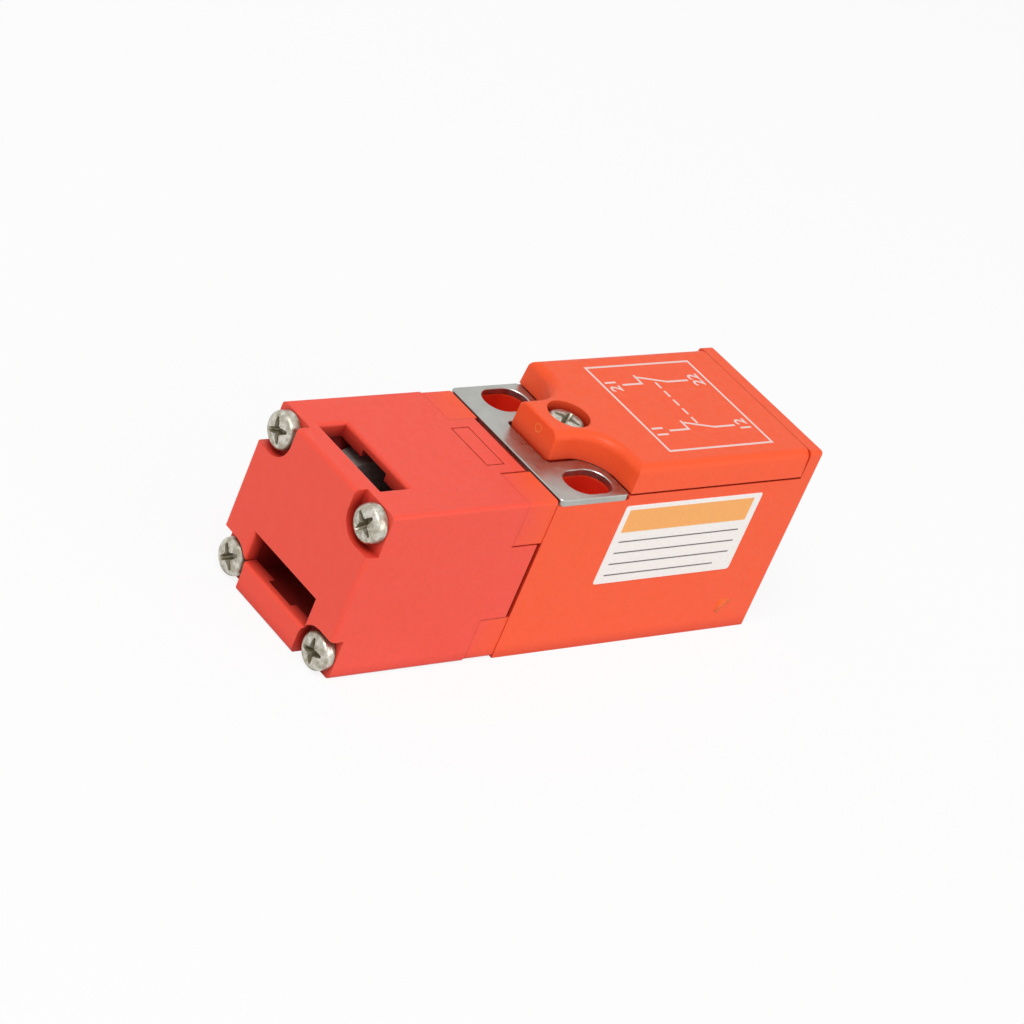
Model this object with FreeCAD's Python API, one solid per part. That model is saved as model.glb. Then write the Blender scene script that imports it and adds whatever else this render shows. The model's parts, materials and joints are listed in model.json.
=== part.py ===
import FreeCAD, Part
import math
import os

V = FreeCAD.Vector

# Tongue-operated safety interlock switch, in millimetres.
# +X runs from the tongue end to the conduit end, -Y is the label side and +Z the wiring cover.
# The origin lies on the mounting face, midway between the two mounting slots.

# ---- overall form -------------------------------------------------------------------------
WIDTH = 25.0                 # across Y: head, collar and body
DECK_HEIGHT = 25.0           # mounting face to the head's top and to the mounting plate's top
COVER_RISE = 4.0             # the mounting plate's top to the top of the cover
HEAD_LENGTH = 24.2           # end face to the back of the head, without its tabs
COLLAR_LENGTH = 4.8          # back of the head to the front of the body
BODY_LENGTH = 46.0           # front of the body to the conduit end
SLOT_SETBACK = 7.4           # front of the body to the middle of the mounting slots
EDGE_ROUND = 0.6             # long moulded edges
END_EDGE_ROUND = 0.5         # outline of the conduit end face

# ---- actuator head ------------------------------------------------------------------------
HEAD_WALL = 2.1              # wall round the wheel space
WHEEL_SPACE_WIDTH = 14.2
TONGUE_SLOT_WIDTH = 13.8
TONGUE_SLOT_GAP = 4.4
TOP_SLOT_SETBACK = 3.7       # end face to the near wall of the top slot
END_SLOT_HEIGHT = 4.2        # mounting face to the lower wall of the end slot
SLOT_LIP_ROUND = 0.55
RELIEF_WIDTH = 5.2           # thinned middle of the slot walls, where the tongue's hook passes
RELIEF_DEPTH = 1.0
RELIEF_REACH = 10.0
TAB_WIDTH = 11.5
TAB_THICKNESS = 1.6
TAB_END_GAP = 0.7
PANEL_LENGTH = 3.0           # panel outlined by a fine groove in the top tab
PANEL_WIDTH = 8.2
PANEL_GROOVE_WIDTH = 0.16
PANEL_GROOVE_DEPTH = 0.3
PANEL_SETBACK = 2.2          # end of the top tab to the panel
HEAD_SCREW_INSET = 2.7       # outer faces to each head screw's axis
HEAD_SCREW_POCKET_RADIUS = 3.3
HEAD_SCREW_POCKET_DEPTH = 1.9
JOINT_CHAMFER = 0.3          # the V between head and collar

# ---- key wheel, cam and plunger -------------------------------------------------------------
WHEEL_FRONT_GAP = 1.4        # head's end wall to the wheel
WHEEL_BACK_GAP = 0.5         # wheel to the collar's spigot
WHEEL_DISC_THICKNESS = 3.6
HUB_RADIUS = 4.0
NOTCH_WIDTH = 4.2
NOTCH_FLOOR_RADIUS = 4.4
NOTCH_ANGLES = (137.0, 227.0)  # one notch waits behind each tongue slot
WHEEL_TURN = 60.0            # degrees, tongue out to tongue home
CAM_THICKNESS = 4.4
CAM_REST_DEPTH = 1.4         # wheel's rim to the cam flank under the plunger, with the tongue out
CAM_LEAD_IN = 15.0           # degrees of flank before the working part
CAM_RUN_OUT = 12.0           # degrees of flank after it
CAM_FRONT_BLEND = 45.0       # degrees along the hub that the cam's two straight sides run off over
CAM_BACK_BLEND = 55.0
CAM_FLANK_POINTS = 9
AXLE_RADIUS = 1.5
AXLE_EMBEDMENT = 2.0         # axle in each side wall
PLUNGER_RADIUS = 2.0
PLUNGER_TRAVEL = 2.5
PLUNGER_FLANGE_RADIUS = 3.5
PLUNGER_FLANGE_SETBACK = 2.2  # nose centre to the flange
PLUNGER_FLANGE_THICKNESS = 1.0
SPRING_POCKET_RADIUS = 4.0
SPRING_POCKET_FLOOR = 1.2
COLLAR_SPIGOT_LENGTH = 2.2   # forward, into the head
REAR_SPIGOT_RADIUS = 6.0
REAR_SPIGOT_LENGTH = 2.2     # back, into the body
COLLAR_INSET = 0.1           # collar faces below the head's faces
KEEPER_THICKNESS = 1.8       # across Y, the ribs that hold the axle in its grooves
SEAL_THICKNESS = 1.8
SEAL_RADIUS = 3.9

# ---- body ---------------------------------------------------------------------------------
BODY_WALL = 1.6
BODY_FLOOR = 2.0
CHAMBER_SETBACK = 13.6       # front of the body to the contact chamber
CONDUIT_WALL = 7.8
CONDUIT_BORE_RADIUS = 8.0    # nominal radius of the M16 x 1.5 entry
CONDUIT_MOUTH_CHAMFER = 0.8
GASKET_WIDTH = 0.7
GASKET_HEIGHT = 0.95
END_RIM = 2.4                # the end wall beside the cover
END_SHOULDER_ROUND = 0.6
PLATE_THICKNESS = 0.9
PLATE_FRONT_GAP = 0.4
PLATE_LENGTH = 11.8
PLATE_CORNER = 0.7
PLATE_EDGE_BEVEL = 0.1       # its upper edges, as stamped
PLATE_CUT_SETBACK = 3.6      # front of the plate to the cut-out for the cover's boss
MOUNT_SLOT_LENGTH = 7.2
MOUNT_SLOT_WIDTH = 5.1
MOUNT_SLOT_RIM = 0.85        # plate outside each slot
PASSAGE_CLEARANCE = 0.06     # body passage outside the plate's slot, all round

# ---- cover --------------------------------------------------------------------------------
COVER_SEAM = 0.3
BOSS_FRONT_SETBACK = 4.4     # front of the body to the foot of the boss
COVER_DRAFT = 0.25           # how far the outline draws in from foot to top
BOSS_HALF_WIDTH = 4.2        # at the foot
BOSS_DRAFT = 0.15
BOSS_EDGE_ROUND = 0.3        # front edges of the boss
COVER_TOP_THICKNESS = 1.6
COVER_SKIRT_THICKNESS = 0.9
COVER_SKIRT_DEPTH = 1.8
COVER_TOP_ROUND = 1.25       # shoulders of the cover
COVER_LIFT_CLEARANCE = 0.15
COVER_END_GAP = 0.1          # cover to the conduit end wall
COVER_SCREW_SETBACK = 9.4    # front of the body to the cover screw
COVER_SCREW_SINK = 0.6       # its head below the cover's top
COUNTERBORE_RADIUS = 3.0

# ---- fasteners ------------------------------------------------------------------------------
HEAD_SCREW_HEAD_RADIUS = 2.55
HEAD_SCREW_HEAD_HEIGHT = 2.1
HEAD_SCREW_SHANK_RADIUS = 1.25
HEAD_SCREW_BITE = 2.9        # thread in the body
COVER_SCREW_HEAD_RADIUS = 2.55
COVER_SCREW_HEAD_HEIGHT = 1.7
COVER_SCREW_SHANK_RADIUS = 1.25
COVER_SCREW_LENGTH = 8.0
SCREW_SEAL_WIDTH = 0.75      # radial width of the ring under the cover screw's head
SCREW_SEAL_HEIGHT = 0.8
TERMINAL_SCREW_HEAD_RADIUS = 2.1
TERMINAL_SCREW_HEAD_HEIGHT = 1.5
TERMINAL_SCREW_SHANK_RADIUS = 1.25
TERMINAL_SCREW_LENGTH = 3.0
HEAD_SHOULDER_SHARE = 0.6    # of a screw head's height, the straight part below its bevel
RECESS_DEPTH = 1.1
RECESS_WING_WIDTH = 0.8
RECESS_REACH_SHARE = 0.68    # of the head's radius, the recess's wings at the top
RECESS_TIP_SHARE = 0.25      # and at the bottom
COVER_SCREW_RECESS_TURN = 30.0   # degrees, as the screw happens to stand
HEAD_SCREW_RECESS_TURNS = (65.0, 65.0, 20.0, 20.0)

# ---- contact block --------------------------------------------------------------------------
BLOCK_SIDE_GAP = 0.6         # chamber wall to block
BLOCK_WALL = 1.2
BLOCK_LID_THICKNESS = 1.0
BLOCK_BARRIER_HEIGHT = 3.0
BLOCK_BARRIER_THICKNESS = 0.9
CARRIER_WIDTH = 5.6
CARRIER_HEIGHT = 5.8
CARRIER_NOSE = 1.95          # carrier's front wall, with the plunger's socket
CARRIER_SOCKET_DEPTH = 1.3
CARRIER_TAIL = 0.8
POLE_COUNT = 2
POLE_PITCH = 6.4
STRIP_THICKNESS = 0.8
STRIP_WIDTH = 4.7
STRIP_SIDE_GAP = 0.1         # block wall to strip
STRIP_FRONT_GAP = 0.5
STRIP_FOOT_DROP = 2.0        # plunger axis to the strip's lower end
TERMINAL_LENGTH = 5.0
CONTACT_TIP_SIZE = 2.2
CONTACT_TIP_HEIGHT = 0.4
CLOSED_CONTACT_GAP = 0.2
BRIDGE_LENGTH = 14.4
BRIDGE_HEIGHT = 3.0
BRIDGE_THICKNESS = 0.6
BRIDGE_SPRING_LENGTH = 2.5
BRIDGE_SPRING_THICKNESS = 0.2
BRIDGE_SPRING_WIDTH = 2.4
CARRIER_SPRING_LENGTH = 2.2
CARRIER_SPRING_RADIUS = 1.9
CARRIER_SPRING_WIRE = 0.35
CARRIER_SPRING_TURNS = 2
PLUNGER_SPRING_RADIUS = 3.1
PLUNGER_SPRING_WIRE = 0.5
PLUNGER_SPRING_TURNS = 3
CLAMP_SIZE = 4.6
CLAMP_THICKNESS = 0.8
GUIDE_CHEEK_THICKNESS = 0.8

# ---- clearances -----------------------------------------------------------------------------
RUNNING_FIT = 0.05           # radial, a shaft in its own bore
FREE_FIT = 0.15              # radial, a screw in a through hole or a tab in its notch
SLIDE_GAP = 0.3              # between parts that move past each other
CAM_GAP = 0.12               # cam flank to plunger nose
SEAT_GAP = 0.05              # between a seal and what closes on it

# ---- derived places ---------------------------------------------------------------------------
HALF_WIDTH = WIDTH / 2
TOTAL_HEIGHT = DECK_HEIGHT + COVER_RISE
BODY_FRONT = -SLOT_SETBACK
HEAD_BACK = BODY_FRONT - COLLAR_LENGTH
END_FACE = HEAD_BACK - HEAD_LENGTH
CONDUIT_END = BODY_FRONT + BODY_LENGTH
AXIS_HEIGHT = DECK_HEIGHT / 2
HEAD_SPACE_FRONT = END_FACE + HEAD_WALL
WHEEL_FRONT = HEAD_SPACE_FRONT + WHEEL_FRONT_GAP
WHEEL_BACK = HEAD_BACK - COLLAR_SPIGOT_LENGTH - WHEEL_BACK_GAP
WHEEL_RADIUS = (WHEEL_BACK - WHEEL_FRONT) / 2
AXLE_X = (WHEEL_FRONT + WHEEL_BACK) / 2
HEAD_SPACE_HALF = WHEEL_SPACE_WIDTH / 2
HEAD_SPACE_FLOOR = HEAD_WALL
WHEEL_HALF = HEAD_SPACE_HALF - SLIDE_GAP
HEAD_SPACE_TOP = DECK_HEIGHT - HEAD_WALL
TAB_END = BODY_FRONT - TAB_END_GAP
AXLE_REACH = HEAD_SPACE_HALF + AXLE_EMBEDMENT
PLUNGER_PITCH_RADIUS = WHEEL_RADIUS - CAM_REST_DEPTH + CAM_GAP + PLUNGER_RADIUS
NOSE_CENTRE = AXLE_X + PLUNGER_PITCH_RADIUS
FLANGE_FRONT = NOSE_CENTRE + PLUNGER_FLANGE_SETBACK
FLANGE_BACK = FLANGE_FRONT + PLUNGER_FLANGE_THICKNESS
REAR_SPIGOT_END = BODY_FRONT + REAR_SPIGOT_LENGTH
SPRING_POCKET_END = REAR_SPIGOT_END - SPRING_POCKET_FLOOR
SEAL_FRONT = REAR_SPIGOT_END + SEAT_GAP
DECK = DECK_HEIGHT - PLATE_THICKNESS
PLATE_FRONT = BODY_FRONT + PLATE_FRONT_GAP
PLATE_BACK = PLATE_FRONT + PLATE_LENGTH
COVER_FOOT = DECK_HEIGHT + SEAT_GAP
WALL_TOP = COVER_FOOT - COVER_SEAM
CHAMBER_FRONT = BODY_FRONT + CHAMBER_SETBACK
CHAMBER_BACK = CONDUIT_END - CONDUIT_WALL
CHAMBER_HALF = HALF_WIDTH - BODY_WALL
LEDGE = COVER_FOOT - SEAT_GAP - GASKET_HEIGHT
COVER_BACK = CONDUIT_END - END_RIM - COVER_END_GAP
COVER_SCREW_X = BODY_FRONT + COVER_SCREW_SETBACK
COVER_SCREW_SEAT = TOTAL_HEIGHT - COVER_SCREW_SINK - COVER_SCREW_HEAD_HEIGHT
SCREW_SEAL_BORE = COVER_SCREW_SHANK_RADIUS + SEAT_GAP
SCREW_SEAL_RADIUS = SCREW_SEAL_BORE + SCREW_SEAL_WIDTH
MOUNT_Y = HALF_WIDTH - MOUNT_SLOT_RIM - MOUNT_SLOT_WIDTH / 2
HEAD_SCREW_Y = HALF_WIDTH - HEAD_SCREW_INSET
HEAD_SCREW_HEIGHTS = (HEAD_SCREW_INSET, DECK_HEIGHT - HEAD_SCREW_INSET)
HEAD_SCREW_SEAT = END_FACE + HEAD_SCREW_POCKET_DEPTH
HEAD_SCREW_TIP = BODY_FRONT + HEAD_SCREW_BITE

BLOCK_FRONT = CHAMBER_FRONT + SEAT_GAP
BLOCK_INNER = BLOCK_FRONT + BLOCK_WALL
BLOCK_HALF = CHAMBER_HALF - BLOCK_SIDE_GAP
BLOCK_TOP = AXIS_HEIGHT + CARRIER_HEIGHT / 2 + 2 * SLIDE_GAP
TERMINAL_BASE = BLOCK_TOP + BLOCK_LID_THICKNESS
FIRST_STRIP = BLOCK_INNER + STRIP_FRONT_GAP
STRIP_TO_BRIDGE = 2 * CONTACT_TIP_HEIGHT + CLOSED_CONTACT_GAP + PLUNGER_TRAVEL
FIRST_BRIDGE = FIRST_STRIP + STRIP_THICKNESS + STRIP_TO_BRIDGE
CARRIER_FRONT = FIRST_BRIDGE - SEAT_GAP - CARRIER_NOSE
WINDOW_LENGTH = BRIDGE_THICKNESS + BRIDGE_SPRING_LENGTH + 2 * SEAT_GAP
LAST_BRIDGE = FIRST_BRIDGE + (POLE_COUNT - 1) * POLE_PITCH
CARRIER_BACK = LAST_BRIDGE - SEAT_GAP + WINDOW_LENGTH + CARRIER_TAIL
BLOCK_SPACE_BACK = CARRIER_BACK + CARRIER_SPRING_LENGTH
BLOCK_BACK = BLOCK_SPACE_BACK + BLOCK_WALL
CARRIER_BOTTOM = AXIS_HEIGHT - CARRIER_HEIGHT / 2
STRIP_OFFSET = BLOCK_HALF - BLOCK_WALL - STRIP_SIDE_GAP - STRIP_WIDTH
PLUNGER_END = CARRIER_FRONT + CARRIER_SOCKET_DEPTH - SEAT_GAP
CONTACT_Y = STRIP_OFFSET + CONTACT_TIP_SIZE / 2


# ---- helpers ----------------------------------------------------------------------------------
def block(x, y, z):
    """A box between the (low, high) pairs x, y and z."""
    return Part.makeBox(x[1] - x[0], y[1] - y[0], z[1] - z[0], V(x[0], y[0], z[0]))


def middle_block(x, half_width, z):
    """A box that is symmetric about the middle plane."""
    return block(x, (-half_width, half_width), z)


def rod_x(x, radius, y=0.0, z=AXIS_HEIGHT):
    return Part.makeCylinder(radius, x[1] - x[0], V(x[0], y, z), V(1, 0, 0))


def rod_y(y, radius, x=AXLE_X, z=AXIS_HEIGHT):
    return Part.makeCylinder(radius, y[1] - y[0], V(x, y[0], z), V(0, 1, 0))


def rod_z(z, radius, x, y=0.0):
    return Part.makeCylinder(radius, z[1] - z[0], V(x, y, z[0]), V(0, 0, 1))


def fuse(shapes):
    first, *rest = shapes
    return first.fuse(rest).removeSplitter() if rest else first


def edges_where(shape, test):
    """The edges whose middle point passes the test."""
    return [e for e in shape.Edges if test(e.valueAt((e.FirstParameter + e.LastParameter) / 2))]


def close_to(a, b):
    return abs(a - b) < 0.01


def lines_and_arcs(steps):
    """A closed wire: each step is an end point, or a (through, end) pair for an arc."""
    here = steps[-1][1] if isinstance(steps[-1], tuple) else steps[-1]
    edges = []
    for step in steps:
        if isinstance(step, tuple):
            edges.append(Part.Arc(here, step[0], step[1]).toShape())
            here = step[1]
        else:
            edges.append(Part.LineSegment(here, step).toShape())
            here = step
    return Part.Wire(edges)


def revolved(steps, centre, axis):
    return Part.Face(lines_and_arcs(steps)).revolve(centre, axis, 360)


def obround(length, width, centre_x, centre_y, z):
    """An upright slot, long in X, between the heights z."""
    reach = (length - width) / 2
    ends = [rod_z(z, width / 2, centre_x + side * reach, centre_y) for side in (-1, 1)]
    waist = block((centre_x - reach, centre_x + reach), (centre_y - width / 2, centre_y + width / 2), z)
    return fuse([waist] + ends)


def coil(length, radius, wire, turns, start):
    """A compression spring of square wire along X, from start."""
    rise = length - wire
    inner = radius - wire
    helix = Part.makeHelix(rise / turns, rise, radius - wire / 2)
    corners = [V(inner, 0, -wire / 2), V(radius, 0, -wire / 2), V(radius, 0, wire / 2), V(inner, 0, wire / 2)]
    spring = Part.Wire(helix.Edges).makePipeShell([lines_and_arcs(corners)], True, True)
    spring.rotate(V(0, 0, 0), V(0, 1, 0), 90)
    spring.translate(V(start + wire / 2, 0, AXIS_HEIGHT))
    return spring


def cross_recess(head_radius, top):
    """The driver recess of a cross-head screw, cut down from the height top along Z."""
    reach = RECESS_REACH_SHARE * head_radius
    tip = RECESS_TIP_SHARE * head_radius
    half = RECESS_WING_WIDTH / 2
    outline = lines_and_arcs([V(-reach, -half, top + RECESS_DEPTH), V(reach, -half, top + RECESS_DEPTH),
                              V(reach, -half, top), V(tip, -half, top - RECESS_DEPTH),
                              V(-tip, -half, top - RECESS_DEPTH), V(-reach, -half, top)])
    wing = Part.Face(outline).extrude(V(0, RECESS_WING_WIDTH, 0))
    other = wing.copy()
    other.rotate(V(0, 0, 0), V(0, 0, 1), 90)
    return wing.fuse(other)


def cross_head_screw(head_radius, head_height, shank_radius, length):
    """A cross-head screw along Z, its seat at zero and its bevelled head above."""
    shoulder = HEAD_SHOULDER_SHARE * head_height
    crown_radius = head_radius - (head_height - shoulder)
    profile = [V(0, 0, -length), V(shank_radius, 0, -length), V(shank_radius, 0, 0), V(head_radius, 0, 0),
               V(head_radius, 0, shoulder), V(crown_radius, 0, head_height), V(0, 0, head_height)]
    screw = revolved(profile, V(0, 0, 0), V(0, 0, 1))
    return screw.cut(cross_recess(head_radius, head_height))


def slotted_screw(head_radius, head_height, shank_radius, length):
    """A cheese-head screw along Z with one straight slot, its seat at zero."""
    screw = fuse([rod_z((-length, 0), shank_radius, 0), rod_z((0, head_height), head_radius, 0)])
    slot = middle_block((-RECESS_WING_WIDTH / 2, RECESS_WING_WIDTH / 2), 2 * head_radius,
                        (head_height / 2, head_height + 1))
    return screw.cut(slot)


# ---- actuator head ------------------------------------------------------------------------------
def head_screw_places():
    return [(side * HEAD_SCREW_Y, height) for side in (-1, 1) for height in HEAD_SCREW_HEIGHTS]


def screw_pocket(y, z):
    """The open corner round one head screw, its inner edge rounded about the screw."""
    inward_y = -HEAD_SCREW_POCKET_RADIUS if y > 0 else HEAD_SCREW_POCKET_RADIUS
    inward_z = -HEAD_SCREW_POCKET_RADIUS if z > AXIS_HEIGHT else HEAD_SCREW_POCKET_RADIUS
    outward_y = -2 * inward_y
    outward_z = -2 * inward_z
    across = sorted((y + inward_y, y + outward_y))
    up = sorted((z + inward_z, z + outward_z))
    pocket = block((END_FACE - 1, HEAD_SCREW_SEAT), across, up)
    inner = edges_where(pocket, lambda p: close_to(p.y, y + inward_y) and close_to(p.z, z + inward_z))
    return pocket.makeFillet(HEAD_SCREW_POCKET_RADIUS, inner)


def tab_places(thickness, half_width, x):
    """Four strips of one section, one against the inside of each outer face."""
    low = HALF_WIDTH - thickness
    return [
        middle_block(x, half_width, (DECK_HEIGHT - thickness, DECK_HEIGHT)),
        middle_block(x, half_width, (0, thickness)),
        block(x, (-HALF_WIDTH, -low), (AXIS_HEIGHT - half_width, AXIS_HEIGHT + half_width)),
        block(x, (low, HALF_WIDTH), (AXIS_HEIGHT - half_width, AXIS_HEIGHT + half_width)),
    ]


def head_block():
    """The head's outside: softened edges, a chamfered back and the four tabs."""
    shell = middle_block((END_FACE, HEAD_BACK), HALF_WIDTH, (0, DECK_HEIGHT))
    shell = shell.makeFillet(EDGE_ROUND, edges_where(shell, lambda p: not close_to(p.x, HEAD_BACK)))
    shell = shell.makeChamfer(JOINT_CHAMFER, edges_where(shell, lambda p: close_to(p.x, HEAD_BACK)))
    tabs = tab_places(TAB_THICKNESS, TAB_WIDTH / 2, (HEAD_BACK - HEAD_WALL, TAB_END))
    return fuse([shell] + tabs)


def tongue_slots():
    """Both tongue slots, with the relieved middle of their walls."""
    half = TONGUE_SLOT_WIDTH / 2
    top_x = (END_FACE + TOP_SLOT_SETBACK, END_FACE + TOP_SLOT_SETBACK + TONGUE_SLOT_GAP)
    end_z = (END_SLOT_HEIGHT, END_SLOT_HEIGHT + TONGUE_SLOT_GAP)
    relief = RELIEF_WIDTH / 2
    return [
        middle_block(top_x, half, (HEAD_SPACE_TOP - 1, DECK_HEIGHT + 1)),
        middle_block((END_FACE - 1, HEAD_SPACE_FRONT + 1), half, end_z),
        middle_block((HEAD_SPACE_FRONT, HEAD_SPACE_FRONT + RELIEF_REACH), relief,
                     (HEAD_SPACE_TOP - 1, HEAD_SPACE_TOP + RELIEF_DEPTH)),
        middle_block((HEAD_SPACE_FRONT - RELIEF_DEPTH, HEAD_SPACE_FRONT + 1), relief,
                     (HEAD_SPACE_FLOOR, HEAD_SPACE_FLOOR + RELIEF_REACH)),
    ]


def axle_groove(side):
    """The groove in one side wall that the axle slides into from behind."""
    half = AXLE_RADIUS + RUNNING_FIT
    across = sorted((side * (HEAD_SPACE_HALF - 1), side * (AXLE_REACH + SEAT_GAP)))
    channel = block((AXLE_X, HEAD_BACK + 1), across, (AXIS_HEIGHT - half, AXIS_HEIGHT + half))
    return channel.fuse(rod_y(across, half))


def slot_mouth_edges(head):
    """The outer edges of both tongue slots."""
    half = TONGUE_SLOT_WIDTH / 2 + 0.01
    top_low = END_FACE + TOP_SLOT_SETBACK - 0.01
    top_high = top_low + TONGUE_SLOT_GAP + 0.02
    end_low = END_SLOT_HEIGHT - 0.01
    end_high = end_low + TONGUE_SLOT_GAP + 0.02

    def on_top(p):
        return close_to(p.z, DECK_HEIGHT) and top_low < p.x < top_high and abs(p.y) < half

    def on_end(p):
        return close_to(p.x, END_FACE) and end_low < p.z < end_high and abs(p.y) < half

    return edges_where(head, lambda p: on_top(p) or on_end(p))


def panel_groove():
    """The fine groove that outlines the panel in the top tab."""
    z = (DECK_HEIGHT - PANEL_GROOVE_DEPTH, DECK_HEIGHT + 1)
    back = TAB_END - PANEL_SETBACK
    front = back - PANEL_LENGTH
    width = PANEL_GROOVE_WIDTH
    outer = middle_block((front, back), PANEL_WIDTH / 2, z)
    return outer.cut(middle_block((front + width, back - width), PANEL_WIDTH / 2 - width, z))


def head_housing():
    head = head_block()
    space = middle_block((HEAD_SPACE_FRONT, HEAD_BACK + 1), HEAD_SPACE_HALF,
                         (HEAD_SPACE_FLOOR, HEAD_SPACE_TOP))
    tab_end_space = middle_block((HEAD_BACK, TAB_END + 1), HEAD_SPACE_HALF,
                                 (TAB_THICKNESS, DECK_HEIGHT - TAB_THICKNESS))
    cuts = [space, panel_groove(), tab_end_space] + tongue_slots()
    cuts += [axle_groove(side) for side in (-1, 1)]
    for y, z in head_screw_places():
        cuts.append(screw_pocket(y, z))
        cuts.append(rod_x((END_FACE, HEAD_BACK + 1), HEAD_SCREW_SHANK_RADIUS + FREE_FIT, y, z))
    head = head.cut(cuts)
    return head.makeFillet(SLOT_LIP_ROUND, slot_mouth_edges(head))


def head_screws():
    screws = []
    for (y, z), turn in zip(head_screw_places(), HEAD_SCREW_RECESS_TURNS):
        screw = cross_head_screw(HEAD_SCREW_HEAD_RADIUS, HEAD_SCREW_HEAD_HEIGHT, HEAD_SCREW_SHANK_RADIUS,
                                 HEAD_SCREW_TIP - HEAD_SCREW_SEAT)
        screw.rotate(V(0, 0, 0), V(0, 0, 1), turn)
        screw.rotate(V(0, 0, 0), V(0, 1, 0), -90)
        screw.translate(V(HEAD_SCREW_SEAT, y, z))
        screws.append(screw)
    return Part.makeCompound(screws)


def head_base():
    """The collar: corner blocks between the tabs, a spigot each way and the axle keepers."""
    x = (HEAD_BACK, BODY_FRONT)
    low = COLLAR_INSET
    collar = block(x, (low - HALF_WIDTH, HALF_WIDTH - low), (low, DECK_HEIGHT - low))
    collar = collar.makeFillet(EDGE_ROUND, edges_where(collar, lambda p: close_to(p.x, sum(x) / 2)))
    notch_half = TAB_WIDTH / 2 + FREE_FIT
    collar = collar.cut(tab_places(TAB_THICKNESS + FREE_FIT, notch_half, (x[0] - 1, x[1] + 1)))
    spigot = middle_block((HEAD_BACK - COLLAR_SPIGOT_LENGTH, HEAD_BACK), HEAD_SPACE_HALF - FREE_FIT,
                          (HEAD_SPACE_FLOOR + FREE_FIT, HEAD_SPACE_TOP - FREE_FIT))
    rear = rod_x((BODY_FRONT - 1, REAR_SPIGOT_END), REAR_SPIGOT_RADIUS)
    keeper_half = AXLE_RADIUS - RUNNING_FIT
    keeper_x = (AXLE_X + AXLE_RADIUS + SEAT_GAP, HEAD_BACK + 1)
    keeper_z = (AXIS_HEIGHT - keeper_half, AXIS_HEIGHT + keeper_half)
    keepers = []
    for side in (-1, 1):
        across = sorted((side * (HEAD_SPACE_HALF + FREE_FIT), side * (HEAD_SPACE_HALF + KEEPER_THICKNESS)))
        keepers.append(block(keeper_x, across, keeper_z))
    base = fuse([collar, spigot, rear] + keepers)
    cuts = [rod_x((HEAD_BACK - COLLAR_SPIGOT_LENGTH - 1, SPRING_POCKET_END), SPRING_POCKET_RADIUS),
            rod_x((SPRING_POCKET_END - 1, REAR_SPIGOT_END + 1), PLUNGER_RADIUS + RUNNING_FIT)]
    cuts += [rod_x((x[0] - 1, x[1] + 1), HEAD_SCREW_SHANK_RADIUS + FREE_FIT, y, z)
             for y, z in head_screw_places()]
    return base.cut(cuts)


# ---- key wheel, cam and plunger -------------------------------------------------------------------
def cam_flank_point(degrees):
    """A point of the cam's flank: the nose's own radius inside a spiral that it follows."""
    angle = math.radians(degrees)
    rise = PLUNGER_TRAVEL / math.radians(WHEEL_TURN)
    pitch = PLUNGER_PITCH_RADIUS + rise * angle
    along = V(rise * math.cos(angle) - pitch * math.sin(angle), 0,
              rise * math.sin(angle) + pitch * math.cos(angle))
    along.normalize()
    inset = PLUNGER_RADIUS + CAM_GAP
    return V(AXLE_X + pitch * math.cos(angle) - inset * along.z, 0,
             AXIS_HEIGHT + pitch * math.sin(angle) + inset * along.x)


def hub_point(degrees):
    angle = math.radians(degrees)
    return V(AXLE_X + HUB_RADIUS * math.cos(angle), 0, AXIS_HEIGHT + HUB_RADIUS * math.sin(angle))


def cam():
    """The lobe that pushes the plunger: a spiral flank, run off onto the round hub."""
    start = -WHEEL_TURN - CAM_LEAD_IN
    step = (CAM_RUN_OUT - start) / (CAM_FLANK_POINTS - 1)
    flank = Part.BSplineCurve()
    flank.interpolate([cam_flank_point(start + i * step) for i in range(CAM_FLANK_POINTS)])
    back = hub_point(CAM_RUN_OUT + CAM_BACK_BLEND)
    front = hub_point(start - CAM_FRONT_BLEND)
    edges = [
        flank.toShape(),
        Part.LineSegment(cam_flank_point(CAM_RUN_OUT), back).toShape(),
        Part.Arc(back, hub_point(180), front).toShape(),
        Part.LineSegment(front, cam_flank_point(start)).toShape(),
    ]
    lobe = Part.Face(Part.Wire(edges)).extrude(V(0, CAM_THICKNESS, 0))
    lobe.translate(V(0, -CAM_THICKNESS / 2, 0))
    return lobe


def wheel_disc(side):
    """One slotted disc, with a notch behind each tongue slot."""
    across = sorted((side * (WHEEL_HALF - WHEEL_DISC_THICKNESS), side * WHEEL_HALF))
    disc = rod_y(across, WHEEL_RADIUS)
    for degrees in NOTCH_ANGLES:
        notch = block((AXLE_X + NOTCH_FLOOR_RADIUS, AXLE_X + WHEEL_RADIUS + 1), across,
                      (AXIS_HEIGHT - NOTCH_WIDTH / 2, AXIS_HEIGHT + NOTCH_WIDTH / 2))
        notch.rotate(V(AXLE_X, 0, AXIS_HEIGHT), V(0, -1, 0), degrees)
        disc = disc.cut(notch)
    return disc


def key_wheel():
    hub = rod_y((-WHEEL_HALF, WHEEL_HALF), HUB_RADIUS)
    wheel = fuse([hub, cam(), wheel_disc(-1), wheel_disc(1)])
    return wheel.cut(rod_y((-HALF_WIDTH, HALF_WIDTH), AXLE_RADIUS + RUNNING_FIT))


def wheel_axle():
    return rod_y((-AXLE_REACH, AXLE_REACH), AXLE_RADIUS)


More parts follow.
